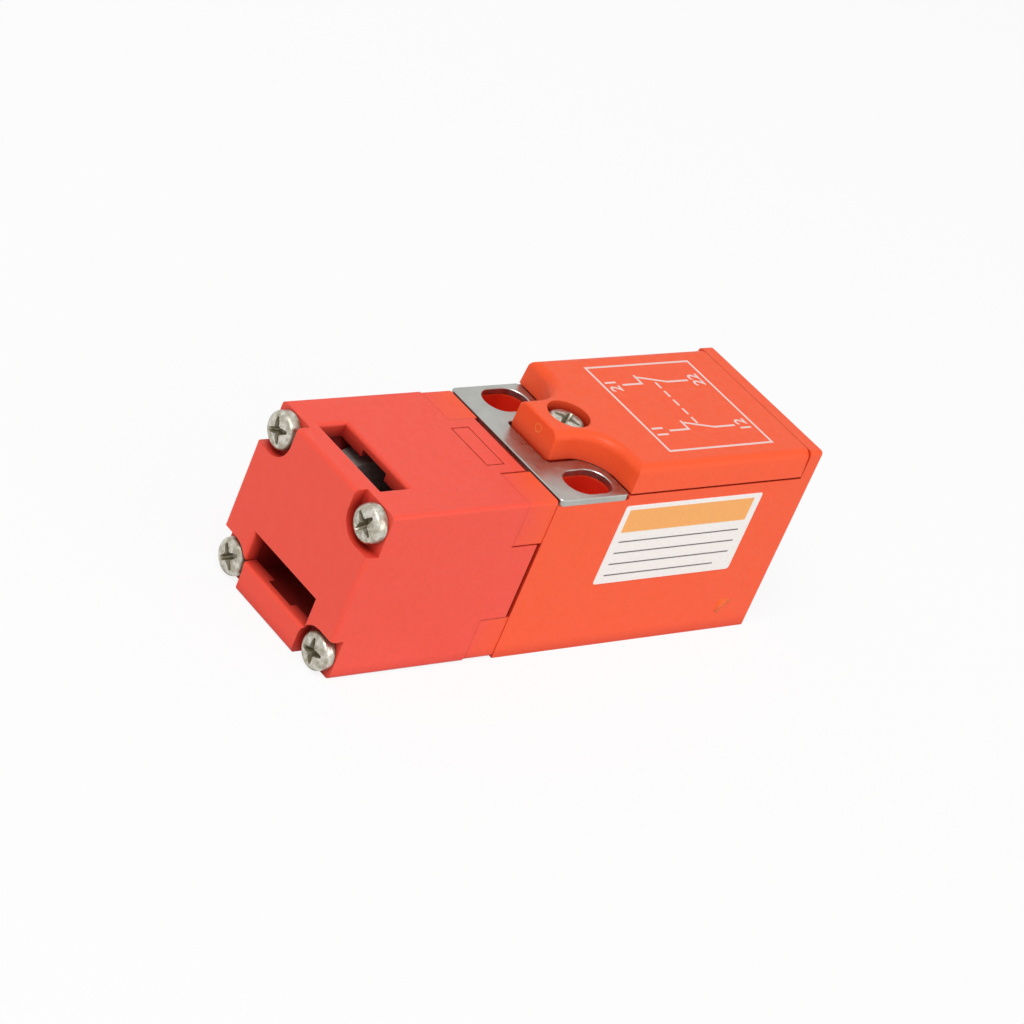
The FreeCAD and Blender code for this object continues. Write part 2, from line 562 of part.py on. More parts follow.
def plunger():
    """The push rod: a nose rounded across the cam, a spring flange and a stem into the carrier."""
    tip = NOSE_CENTRE - PLUNGER_RADIUS
    stem = rod_x((tip, PLUNGER_END), PLUNGER_RADIUS)
    flange = rod_x((FLANGE_FRONT, FLANGE_BACK), PLUNGER_FLANGE_RADIUS)
    square_tip = middle_block((tip, NOSE_CENTRE), PLUNGER_RADIUS,
                              (AXIS_HEIGHT - PLUNGER_RADIUS, AXIS_HEIGHT + PLUNGER_RADIUS))
    shaving = square_tip.cut(rod_y((-PLUNGER_RADIUS, PLUNGER_RADIUS), PLUNGER_RADIUS, NOSE_CENTRE))
    return fuse([stem, flange]).cut(shaving)


def plunger_spring():
    return coil(SPRING_POCKET_END - FLANGE_BACK, PLUNGER_SPRING_RADIUS, PLUNGER_SPRING_WIRE,
                PLUNGER_SPRING_TURNS, FLANGE_BACK)


def plunger_seal():
    """A ring whose inner lip is thinned towards the head."""
    bore = PLUNGER_RADIUS + RUNNING_FIT
    back = SEAL_FRONT + SEAL_THICKNESS
    lip = (bore + SEAL_RADIUS) / 2
    z = AXIS_HEIGHT
    profile = [V(SEAL_FRONT, 0, z + bore), V(SEAL_FRONT + SEAL_THICKNESS / 2, 0, z + lip),
               V(SEAL_FRONT, 0, z + lip), V(SEAL_FRONT, 0, z + SEAL_RADIUS), V(back, 0, z + SEAL_RADIUS),
               V(back, 0, z + bore)]
    return revolved(profile, V(0, 0, z), V(1, 0, 0))


# ---- body -----------------------------------------------------------------------------------------
def body_block():
    """The body's outside: a box with the conduit end wall standing up to the cover's top."""
    box = middle_block((BODY_FRONT, CONDUIT_END), HALF_WIDTH, (0, WALL_TOP))
    end_wall = middle_block((CONDUIT_END - END_RIM, CONDUIT_END), HALF_WIDTH, (0, TOTAL_HEIGHT))
    shoulders = edges_where(end_wall, lambda p: close_to(p.z, TOTAL_HEIGHT)
                            and close_to(abs(p.y), HALF_WIDTH))
    end_wall = end_wall.makeFillet(END_SHOULDER_ROUND, shoulders)
    body = fuse([box, end_wall])
    return body.makeFillet(END_EDGE_ROUND, edges_where(body, lambda p: close_to(p.x, CONDUIT_END)))


def chamber():
    """The contact chamber, and the wider ledge that the cover's gasket lies on."""
    space = middle_block((CHAMBER_FRONT, CHAMBER_BACK), CHAMBER_HALF, (BODY_FLOOR, WALL_TOP + 1))
    ledge_width = GASKET_WIDTH + SEAT_GAP
    ledge = middle_block((CHAMBER_FRONT - ledge_width, CHAMBER_BACK + ledge_width),
                         CHAMBER_HALF + ledge_width, (LEDGE, WALL_TOP + 1))
    return [space, ledge]


def plunger_path():
    """The spigot recess, the seal's seat and the bore through to the chamber."""
    seal_back = SEAL_FRONT + SEAL_THICKNESS
    return [
        rod_x((BODY_FRONT - 1, SEAL_FRONT), REAR_SPIGOT_RADIUS + FREE_FIT),
        rod_x((BODY_FRONT, seal_back), SEAL_RADIUS + SEAT_GAP),
        rod_x((BODY_FRONT, CHAMBER_FRONT + 1), PLUNGER_RADIUS + SLIDE_GAP),
    ]


def conduit_entry():
    bore = rod_x((CHAMBER_BACK - 1, CONDUIT_END + 1), CONDUIT_BORE_RADIUS)
    mouth = Part.makeCone(CONDUIT_BORE_RADIUS, CONDUIT_BORE_RADIUS + CONDUIT_MOUTH_CHAMFER,
                          CONDUIT_MOUTH_CHAMFER, V(CONDUIT_END - CONDUIT_MOUTH_CHAMFER, 0, AXIS_HEIGHT),
                          V(1, 0, 0))
    return [bore, mouth]


def body_housing():
    deck_x = (BODY_FRONT - 1, PLATE_BACK + SEAT_GAP)
    deck_space = middle_block(deck_x, HALF_WIDTH + 1, (DECK, DECK_HEIGHT + 1))
    cuts = [deck_space] + chamber() + plunger_path() + conduit_entry()
    length = MOUNT_SLOT_LENGTH + 2 * PASSAGE_CLEARANCE
    width = MOUNT_SLOT_WIDTH + 2 * PASSAGE_CLEARANCE
    for side in (-1, 1):
        cuts.append(obround(length, width, 0, side * MOUNT_Y, (-1, DECK_HEIGHT)))
    head_screw_hole = (BODY_FRONT - 1, HEAD_SCREW_TIP + FREE_FIT)
    for y, z in head_screw_places():
        cuts.append(rod_x(head_screw_hole, HEAD_SCREW_SHANK_RADIUS + RUNNING_FIT, y, z))
    cover_screw_hole = (COVER_SCREW_SEAT - COVER_SCREW_LENGTH - SLIDE_GAP, DECK_HEIGHT)
    cuts.append(rod_z(cover_screw_hole, COVER_SCREW_SHANK_RADIUS + RUNNING_FIT, COVER_SCREW_X))
    return body_block().cut(cuts)


def mounting_plate():
    """Sheet steel round the mounting slots, cut out from behind for the cover's boss."""
    z = (DECK, DECK_HEIGHT)
    plate = middle_block((PLATE_FRONT, PLATE_BACK), HALF_WIDTH, z)
    corners = edges_where(plate, lambda p: close_to(abs(p.y), HALF_WIDTH) and close_to(p.z, sum(z) / 2))
    plate = plate.makeFillet(PLATE_CORNER, corners)
    cut_half = BOSS_HALF_WIDTH + SLIDE_GAP
    cut_out = middle_block((PLATE_FRONT + PLATE_CUT_SETBACK, PLATE_BACK + 1), cut_half, z)
    inner = edges_where(cut_out, lambda p: p.x < PLATE_BACK and close_to(abs(p.y), cut_half)
                        and close_to(p.z, sum(z) / 2))
    cut_out = cut_out.makeFillet(PLATE_CORNER, inner)
    slots = [obround(MOUNT_SLOT_LENGTH, MOUNT_SLOT_WIDTH, 0, side * MOUNT_Y, z) for side in (-1, 1)]
    plate = plate.cut([cut_out] + slots)
    return plate.makeChamfer(PLATE_EDGE_BEVEL, edges_where(plate, lambda p: close_to(p.z, DECK_HEIGHT)))


# ---- cover ------------------------------------------------------------------------------------------
def cover_outline(height, draft, boss_draft, back):
    """The cover's plan: a boss between two scallops that keep clear of the mounting slots."""
    boss = BOSS_HALF_WIDTH - boss_draft
    scallop = MOUNT_Y - boss
    diagonal = scallop / math.sqrt(2)
    side = HALF_WIDTH - draft
    front = BODY_FRONT + BOSS_FRONT_SETBACK

    def at(x, y):
        return V(x, y, height)

    return lines_and_arcs([
        at(front, boss), at(0, boss),
        (at(diagonal, MOUNT_Y - diagonal), at(scallop, MOUNT_Y)),
        at(scallop, side), at(back, side), at(back, -side), at(scallop, -side),
        at(scallop, -MOUNT_Y),
        (at(diagonal, diagonal - MOUNT_Y), at(0, -boss)), at(front, -boss),
    ])


def cover_shell():
    """The drafted outside with rounded shoulders, cut off square at the conduit end."""
    spare = CONDUIT_END
    foot = cover_outline(COVER_FOOT, 0, 0, spare)
    top = cover_outline(TOTAL_HEIGHT, COVER_DRAFT, BOSS_DRAFT, spare)
    shell = Part.makeLoft([foot, top], True, True)
    shoulder = edges_where(shell, lambda p: close_to(p.z, TOTAL_HEIGHT) and 0.5 < p.x < spare - 0.1)
    shell = shell.makeFillet(COVER_TOP_ROUND, shoulder)
    boss_front = BODY_FRONT + BOSS_FRONT_SETBACK + 0.01
    shell = shell.makeFillet(BOSS_EDGE_ROUND, edges_where(shell, lambda p: p.x < boss_front
                                                          and p.z > COVER_FOOT + 0.01))
    return shell.cut(middle_block((COVER_BACK, spare + 1), WIDTH, (0, TOTAL_HEIGHT + 1)))


def cover_skirt():
    """The rim under the cover that drops inside the chamber walls."""
    gap = COVER_LIFT_CLEARANCE
    x = (CHAMBER_FRONT + gap, CHAMBER_BACK - gap)
    half = CHAMBER_HALF - gap
    z = (COVER_FOOT - COVER_SKIRT_DEPTH, COVER_FOOT)
    wall = COVER_SKIRT_THICKNESS
    return middle_block(x, half, z).cut(middle_block((x[0] + wall, x[1] - wall), half - wall, z))


def cover_space():
    """The wiring room under the cover, inside its skirt."""
    gap = COVER_LIFT_CLEARANCE + COVER_SKIRT_THICKNESS
    x = (CHAMBER_FRONT + gap, CHAMBER_BACK - gap)
    return middle_block(x, CHAMBER_HALF - gap, (COVER_FOOT - 1, TOTAL_HEIGHT - COVER_TOP_THICKNESS))


def cover():
    boss_root = middle_block((BODY_FRONT + BOSS_FRONT_SETBACK, PLATE_BACK - SLIDE_GAP),
                             BOSS_HALF_WIDTH - SLIDE_GAP, (DECK + COVER_SEAM, COVER_FOOT + 1))
    lid = fuse([cover_shell(), boss_root, cover_skirt()])
    seal_floor = COVER_SCREW_SEAT - SCREW_SEAL_HEIGHT
    cuts = [
        cover_space(),
        rod_z((COVER_SCREW_SEAT, TOTAL_HEIGHT + 1), COUNTERBORE_RADIUS, COVER_SCREW_X),
        rod_z((seal_floor, COVER_SCREW_SEAT + 1), SCREW_SEAL_RADIUS + SEAT_GAP, COVER_SCREW_X),
        rod_z((DECK, COVER_SCREW_SEAT), COVER_SCREW_SHANK_RADIUS + FREE_FIT, COVER_SCREW_X),
    ]
    return lid.cut(cuts)


def cover_screw():
    screw = cross_head_screw(COVER_SCREW_HEAD_RADIUS, COVER_SCREW_HEAD_HEIGHT, COVER_SCREW_SHANK_RADIUS,
                             COVER_SCREW_LENGTH)
    screw.rotate(V(0, 0, 0), V(0, 0, 1), COVER_SCREW_RECESS_TURN)
    screw.translate(V(COVER_SCREW_X, 0, COVER_SCREW_SEAT))
    return screw


def cover_screw_seal():
    z = (COVER_SCREW_SEAT - SCREW_SEAL_HEIGHT, COVER_SCREW_SEAT - SEAT_GAP)
    return rod_z(z, SCREW_SEAL_RADIUS, COVER_SCREW_X).cut(rod_z(z, SCREW_SEAL_BORE, COVER_SCREW_X))


def cover_gasket():
    """A flat frame on the ledge round the chamber."""
    z = (LEDGE, LEDGE + GASKET_HEIGHT)
    outer = middle_block((CHAMBER_FRONT - GASKET_WIDTH, CHAMBER_BACK + GASKET_WIDTH),
                         CHAMBER_HALF + GASKET_WIDTH, z)
    return outer.cut(middle_block((CHAMBER_FRONT, CHAMBER_BACK), CHAMBER_HALF, z))


# ---- contact block -----------------------------------------------------------------------------------
def pole_offsets():
    return [pole * POLE_PITCH for pole in range(POLE_COUNT)]


def terminal_places():
    """The axis of each terminal screw."""
    y = STRIP_OFFSET + STRIP_WIDTH / 2
    centres = [FIRST_STRIP + offset + TERMINAL_LENGTH / 2 for offset in pole_offsets()]
    return [(x, side * y) for x in centres for side in (-1, 1)]


def contact_block():
    """An open tray with a guide for the carrier and a hole for the plunger."""
    tray = middle_block((BLOCK_FRONT, BLOCK_BACK), BLOCK_HALF, (BODY_FLOOR, BLOCK_TOP))
    floor = CARRIER_BOTTOM - SLIDE_GAP
    rail_foot = floor - CARRIER_HEIGHT / 2
    space = middle_block((BLOCK_INNER, BLOCK_SPACE_BACK), BLOCK_HALF - BLOCK_WALL, (rail_foot, BLOCK_TOP))
    hole = rod_x((BLOCK_FRONT - 1, BLOCK_INNER + 1), PLUNGER_RADIUS + SLIDE_GAP)
    tray = tray.cut([space, hole])
    cheek = CARRIER_WIDTH / 2 + SLIDE_GAP
    rail_x = (BLOCK_INNER, BLOCK_SPACE_BACK)
    rail = middle_block(rail_x, cheek + GUIDE_CHEEK_THICKNESS, (rail_foot, floor + 1))
    rail = rail.cut(middle_block(rail_x, cheek, (floor, floor + 1)))
    return fuse([tray, rail])


def contact_block_lid():
    """The snap-on lid that the terminals stand on, with barriers between them."""
    z = (BLOCK_TOP, TERMINAL_BASE)
    lid = middle_block((BLOCK_FRONT, BLOCK_BACK), BLOCK_HALF, z)
    tall = (TERMINAL_BASE, TERMINAL_BASE + BLOCK_BARRIER_HEIGHT)
    thin = BLOCK_BARRIER_THICKNESS / 2
    terminals_end = FIRST_STRIP + (POLE_COUNT - 1) * POLE_PITCH + TERMINAL_LENGTH
    spine = middle_block((FIRST_STRIP, terminals_end), thin, tall)
    between = [offset + FIRST_STRIP - (POLE_PITCH - TERMINAL_LENGTH) / 2 for offset in pole_offsets()[1:]]
    barriers = [middle_block((x - thin, x + thin), BLOCK_HALF - BLOCK_WALL / 2, tall) for x in between]
    lid = fuse([lid, spine] + barriers)
    return lid.cut([terminal_window(x, y, z) for x, y in terminal_places()])


def terminal_window(x, y, z):
    """The opening under one terminal that passes the strip's leg and the screw's tip."""
    front = x - TERMINAL_LENGTH / 2 - FREE_FIT
    back = x + TERMINAL_SCREW_SHANK_RADIUS + FREE_FIT
    half = TERMINAL_SCREW_SHANK_RADIUS + FREE_FIT
    leg_half = STRIP_WIDTH / 2 + FREE_FIT
    leg = block((front, front + STRIP_THICKNESS + 2 * FREE_FIT), (y - leg_half, y + leg_half), z)
    return leg.fuse(block((front, back), (y - half, y + half), z))


def contact_carrier():
    """The slide: one window per bridge and a socket for the plunger."""
    half = CARRIER_WIDTH / 2
    z = (CARRIER_BOTTOM, CARRIER_BOTTOM + CARRIER_HEIGHT)
    carrier = middle_block((CARRIER_FRONT, CARRIER_BACK), half, z)
    window_half = BRIDGE_HEIGHT / 2 + FREE_FIT
    cuts = [rod_x((CARRIER_FRONT - 1, CARRIER_FRONT + CARRIER_SOCKET_DEPTH), PLUNGER_RADIUS + RUNNING_FIT)]
    for offset in pole_offsets():
        start = FIRST_BRIDGE - SEAT_GAP + offset
        cuts.append(middle_block((start, start + WINDOW_LENGTH), half + 1,
                                 (AXIS_HEIGHT - window_half, AXIS_HEIGHT + window_half)))
    return carrier.cut(cuts)


def contact_tip(x, side):
    """A square of contact profile between the pair x, on one side of the middle plane."""
    half = CONTACT_TIP_SIZE / 2
    y = side * CONTACT_Y
    return block(x, (y - half, y + half), (AXIS_HEIGHT - half, AXIS_HEIGHT + half))


def contact_bridges():
    """Each moving bridge carries two contact tips that face the fixed strips."""
    bridges = []
    for offset in pole_offsets():
        x = FIRST_BRIDGE + offset
        bar = middle_block((x, x + BRIDGE_THICKNESS), BRIDGE_LENGTH / 2,
                           (AXIS_HEIGHT - BRIDGE_HEIGHT / 2, AXIS_HEIGHT + BRIDGE_HEIGHT / 2))
        tips = [contact_tip((x - CONTACT_TIP_HEIGHT, x), side) for side in (-1, 1)]
        bridges.append(fuse([bar] + tips))
    return Part.makeCompound(bridges)


def bridge_springs():
    """A folded leaf behind each bridge: its feet on the bridge, its crown on the window's wall."""
    foot = FIRST_BRIDGE + BRIDGE_THICKNESS
    crown = foot + BRIDGE_SPRING_LENGTH
    leaf = BRIDGE_SPRING_THICKNESS
    reach = CARRIER_WIDTH / 2 - SLIDE_GAP
    shoulder = reach / 3
    z = AXIS_HEIGHT - BRIDGE_SPRING_WIDTH / 2
    outer = [V(foot, reach, z), V(crown, shoulder, z), V(crown, -shoulder, z), V(foot, -reach, z)]
    inner = [V(foot, leaf - reach, z), V(crown - leaf, -shoulder, z), V(crown - leaf, shoulder, z),
             V(foot, reach - leaf, z)]
    folded = Part.Face(lines_and_arcs(outer + inner)).extrude(V(0, 0, BRIDGE_SPRING_WIDTH))
    springs = []
    for offset in pole_offsets():
        spring = folded.copy()
        spring.translate(V(offset, 0, 0))
        springs.append(spring)
    return Part.makeCompound(springs)


def carrier_spring():
    return coil(CARRIER_SPRING_LENGTH, CARRIER_SPRING_RADIUS, CARRIER_SPRING_WIRE,
                CARRIER_SPRING_TURNS, CARRIER_BACK)


def fixed_contacts():
    """Bent strips: a leg with a contact tip inside the block, a terminal on its lid."""
    strips = []
    for offset in pole_offsets():
        x = FIRST_STRIP + offset
        foot = AXIS_HEIGHT - STRIP_FOOT_DROP
        top = TERMINAL_BASE + STRIP_THICKNESS
        outline = [V(x, 0, foot), V(x + STRIP_THICKNESS, 0, foot), V(x + STRIP_THICKNESS, 0, TERMINAL_BASE),
                   V(x + TERMINAL_LENGTH, 0, TERMINAL_BASE), V(x + TERMINAL_LENGTH, 0, top), V(x, 0, top)]
        bent = Part.Face(lines_and_arcs(outline)).extrude(V(0, STRIP_WIDTH, 0))
        for side in (-1, 1):
            strip = bent.copy()
            strip.translate(V(0, STRIP_OFFSET if side > 0 else -STRIP_OFFSET - STRIP_WIDTH, 0))
            tip = contact_tip((x + STRIP_THICKNESS, x + STRIP_THICKNESS + CONTACT_TIP_HEIGHT), side)
            strips.append(fuse([strip, tip]))
    holes = [rod_z((BLOCK_TOP, TOTAL_HEIGHT), TERMINAL_SCREW_SHANK_RADIUS + RUNNING_FIT, x, y)
             for x, y in terminal_places()]
    return Part.makeCompound([strip.cut(holes) for strip in strips])


def terminal_clamps():
    """Forked wire clamps, open towards the block's sides so that they slide under a screw."""
    z = (TERMINAL_BASE + STRIP_THICKNESS, TERMINAL_BASE + STRIP_THICKNESS + CLAMP_THICKNESS)
    half = CLAMP_SIZE / 2
    shank = TERMINAL_SCREW_SHANK_RADIUS + FREE_FIT
    clamps = []
    for x, y in terminal_places():
        fork = sorted((y, y + math.copysign(CLAMP_SIZE, y)))
        clamp = block((x - half, x + half), (y - half, y + half), z)
        clamps.append(clamp.cut([rod_z(z, shank, x, y), block((x - shank, x + shank), fork, z)]))
    return Part.makeCompound(clamps)


def terminal_screws():
    seat = TERMINAL_BASE + STRIP_THICKNESS + CLAMP_THICKNESS
    screws = []
    for x, y in terminal_places():
        screw = slotted_screw(TERMINAL_SCREW_HEAD_RADIUS, TERMINAL_SCREW_HEAD_HEIGHT,
                              TERMINAL_SCREW_SHANK_RADIUS, TERMINAL_SCREW_LENGTH)
        screw.translate(V(x, y, seat))
        screws.append(screw)
    return Part.makeCompound(screws)


NODES = {
    "head_housing": head_housing,
    "head_screws": head_screws,
    "head_base": head_base,
    "key_wheel": key_wheel,
    "wheel_axle": wheel_axle,
    "plunger": plunger,
    "plunger_spring": plunger_spring,
    "plunger_seal": plunger_seal,
    "body_housing": body_housing,
    "mounting_plate": mounting_plate,
    "cover": cover,
    "cover_gasket": cover_gasket,
    "cover_screw": cover_screw,
    "cover_screw_seal": cover_screw_seal,
    "contact_block": contact_block,
    "contact_block_lid": contact_block_lid,
    "contact_carrier": contact_carrier,
    "contact_bridges": contact_bridges,
    "bridge_springs": bridge_springs,
    "carrier_spring": carrier_spring,
    "fixed_contacts": fixed_contacts,
    "terminal_clamps": terminal_clamps,
    "terminal_screws": terminal_screws,
}

os.makedirs("parts", exist_ok=True)
for name, make in NODES.items():
    make().exportStep(f"parts/{name}.step")
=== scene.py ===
import json
import math

import bmesh
import bpy
from mathutils import Matrix, Vector


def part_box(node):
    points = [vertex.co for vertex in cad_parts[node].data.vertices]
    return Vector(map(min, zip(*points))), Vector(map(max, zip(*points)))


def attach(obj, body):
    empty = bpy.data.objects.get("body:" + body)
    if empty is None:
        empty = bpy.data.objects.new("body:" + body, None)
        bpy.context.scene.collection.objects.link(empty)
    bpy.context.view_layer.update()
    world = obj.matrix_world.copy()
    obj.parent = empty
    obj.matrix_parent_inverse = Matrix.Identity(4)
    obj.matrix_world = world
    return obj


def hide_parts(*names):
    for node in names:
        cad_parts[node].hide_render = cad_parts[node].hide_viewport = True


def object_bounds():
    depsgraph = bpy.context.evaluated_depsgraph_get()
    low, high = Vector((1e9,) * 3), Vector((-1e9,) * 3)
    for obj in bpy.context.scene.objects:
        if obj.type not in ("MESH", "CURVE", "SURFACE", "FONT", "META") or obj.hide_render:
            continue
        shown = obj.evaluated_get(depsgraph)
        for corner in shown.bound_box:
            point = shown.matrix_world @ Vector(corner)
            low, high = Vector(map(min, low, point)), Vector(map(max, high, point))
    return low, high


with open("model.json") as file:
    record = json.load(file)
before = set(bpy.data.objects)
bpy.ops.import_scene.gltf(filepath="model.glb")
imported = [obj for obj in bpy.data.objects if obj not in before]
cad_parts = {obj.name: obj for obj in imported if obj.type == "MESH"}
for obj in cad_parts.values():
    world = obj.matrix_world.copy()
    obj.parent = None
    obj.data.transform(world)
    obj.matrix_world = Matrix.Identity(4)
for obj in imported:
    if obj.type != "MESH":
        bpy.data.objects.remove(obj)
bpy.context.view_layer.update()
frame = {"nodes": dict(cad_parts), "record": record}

MM = 0.001

# ---- driving looks: sizes in metres, colours linear ------------------------------------------------
CAMERA_AZIMUTH = math.radians(49.25)      # of the line of sight, from +Y towards +X
CAMERA_ELEVATION = math.radians(28.83)
CAMERA_ROLL = math.radians(23.42)
CAMERA_DISTANCE = 475.73 * MM
CAMERA_AIM = Vector((-11.971, -9.802, 21.824)) * MM
CAMERA_LENS = 133.32                      # on a 36 mm sensor

HEAD_RED = (0.93, 0.086, 0.050)
BODY_ORANGE = (0.98, 0.103, 0.024)
STEEL = (0.46, 0.46, 0.43)
ZINC = (0.68, 0.655, 0.585)
ZINC_TARNISH = (0.36, 0.33, 0.25)
RECESS_DARK_OLIVE = (0.15, 0.115, 0.048)
WHEEL_GREY = (0.44, 0.385, 0.36)
LABEL_WHITE = (0.97, 0.94, 0.90)
LABEL_ORANGE = (1.0, 0.45, 0.12)
PRINT_WHITE = (0.92, 0.70, 0.65)
PRINT_GREY = (0.16, 0.15, 0.145)
GATE_ORANGE = (1.0, 0.135, 0.014)
RING_ORANGE = (1.0, 0.23, 0.035)
PAINTED_SHADE_RED = (0.50, 0.016, 0.008)           # painted shade: the plastics darkened deep in slots and seams
CAVITY_SHADE_RED = (0.25, 0.010, 0.009)         # and painted shade inside the head, darker still
PASSAGE_SHADE_RED = (0.80, 0.018, 0.008)        # and painted shade in the body's mounting passages
JOINT_FRONT = -12.2 * MM                  # the collar's colour runs over from the head's to the body's
JOINT_BACK = -6.6 * MM
JOINT_BEAD = 0.3 * MM                     # width of the flash in the joint between head and collar
JOINT_BEAD_DEPTH = 0.11 * MM
JOINT_CORNER = 0.55 * MM
HAIR = 0.005 * MM                         # keeps added faces off the solids' own

# bounds of the painted shade: the body's mounting passages and the inside of the head
PASSAGE_HALF_LENGTH = 3.75 * MM           # the space that the body's mounting passages lie in
PASSAGE_ACROSS = 9.1 * MM
PASSAGE_HALF_WIDTH = 2.7 * MM
PASSAGE_TOP_FADE = 0.4 * MM
PASSAGE_FOOT = (0.2 * MM, 1.5 * MM)       # height above the mounting face, where the colour fades in
CAVITY_HALF_WIDTH = 7.3 * MM              # the space that the wheel and the tongue slots lie in
CAVITY_FADE = (0.2 * MM, 2.2 * MM)        # depth below the head's outer faces

HEAD_SCREW_RADIUS = 2.55 * MM
HEAD_SCREW_HEIGHT = 2.1 * MM
HEAD_SCREW_CROWN = 1.95 * MM              # the turned head, a little lower than its envelope
HEAD_SCREW_SHANK = 1.25 * MM
COVER_SCREW_RADIUS = 2.55 * MM
COVER_SCREW_HEIGHT = 1.7 * MM
SCREW_PITCH = 0.8 * MM
THREAD_DEPTH = 0.22 * MM

CONDUIT_RADIUS = 8.0 * MM
CONDUIT_CREST_RADIUS = 7.19 * MM
CONDUIT_PITCH = 1.5 * MM
CONDUIT_CHAMFER = 0.8 * MM
CONDUIT_DEPTH = 7.8 * MM

LABEL_SETBACK = 12.6 * MM                 # front of the body to the label
LABEL_LENGTH = 24.8 * MM
LABEL_HEIGHT = 12.6 * MM
LABEL_TOP_MARGIN = 1.9 * MM               # body's top edge to the label
LABEL_CORNER = 0.4 * MM
LABEL_THICKNESS = 0.07 * MM
BAND_MARGIN = 0.7 * MM                    # above the band
BAND_LEFT = 0.9 * MM
BAND_RIGHT = 1.25 * MM
BAND_HEIGHT = 3.6 * MM
RULE_WIDTH = 0.2 * MM
RULE_LEFT = 1.3 * MM
RULE_FOOT = 1.25 * MM                     # label's lower edge to the lowest rule
RULE_PITCH = 1.8 * MM
RULE_LENGTHS = (19.8 * MM, 21.8 * MM, 21.8 * MM, 21.8 * MM)
PRINT_THICKNESS = 0.012 * MM

INK_WIDTH = 0.36 * MM
DIAGRAM_SHIFT = 5.2 * MM                  # the cover's middle to the diagram's, towards the conduit
NUMERAL_SIZE = 2.7 * MM
NUMERAL_SWELL = 0.05 * MM
GATE_SIDE_SETBACK = 6.4 * MM              # conduit end to the gate mark on the side
GATE_SIDE_HEIGHT = 4.2 * MM
GATE_SIDE_RADIUS = 1.15 * MM
GATE_BOSS_ACROSS = -0.5 * MM
GATE_BOSS_DROP = 1.5 * MM                 # below the cover's top
GATE_BOSS_RADIUS = 0.66 * MM

AMBIENT = 0.42
FLOOR_SEEN = 0.88                         # share of full white at which the floor is seen
LIGHT_AIM = (0, 0, 0.01)


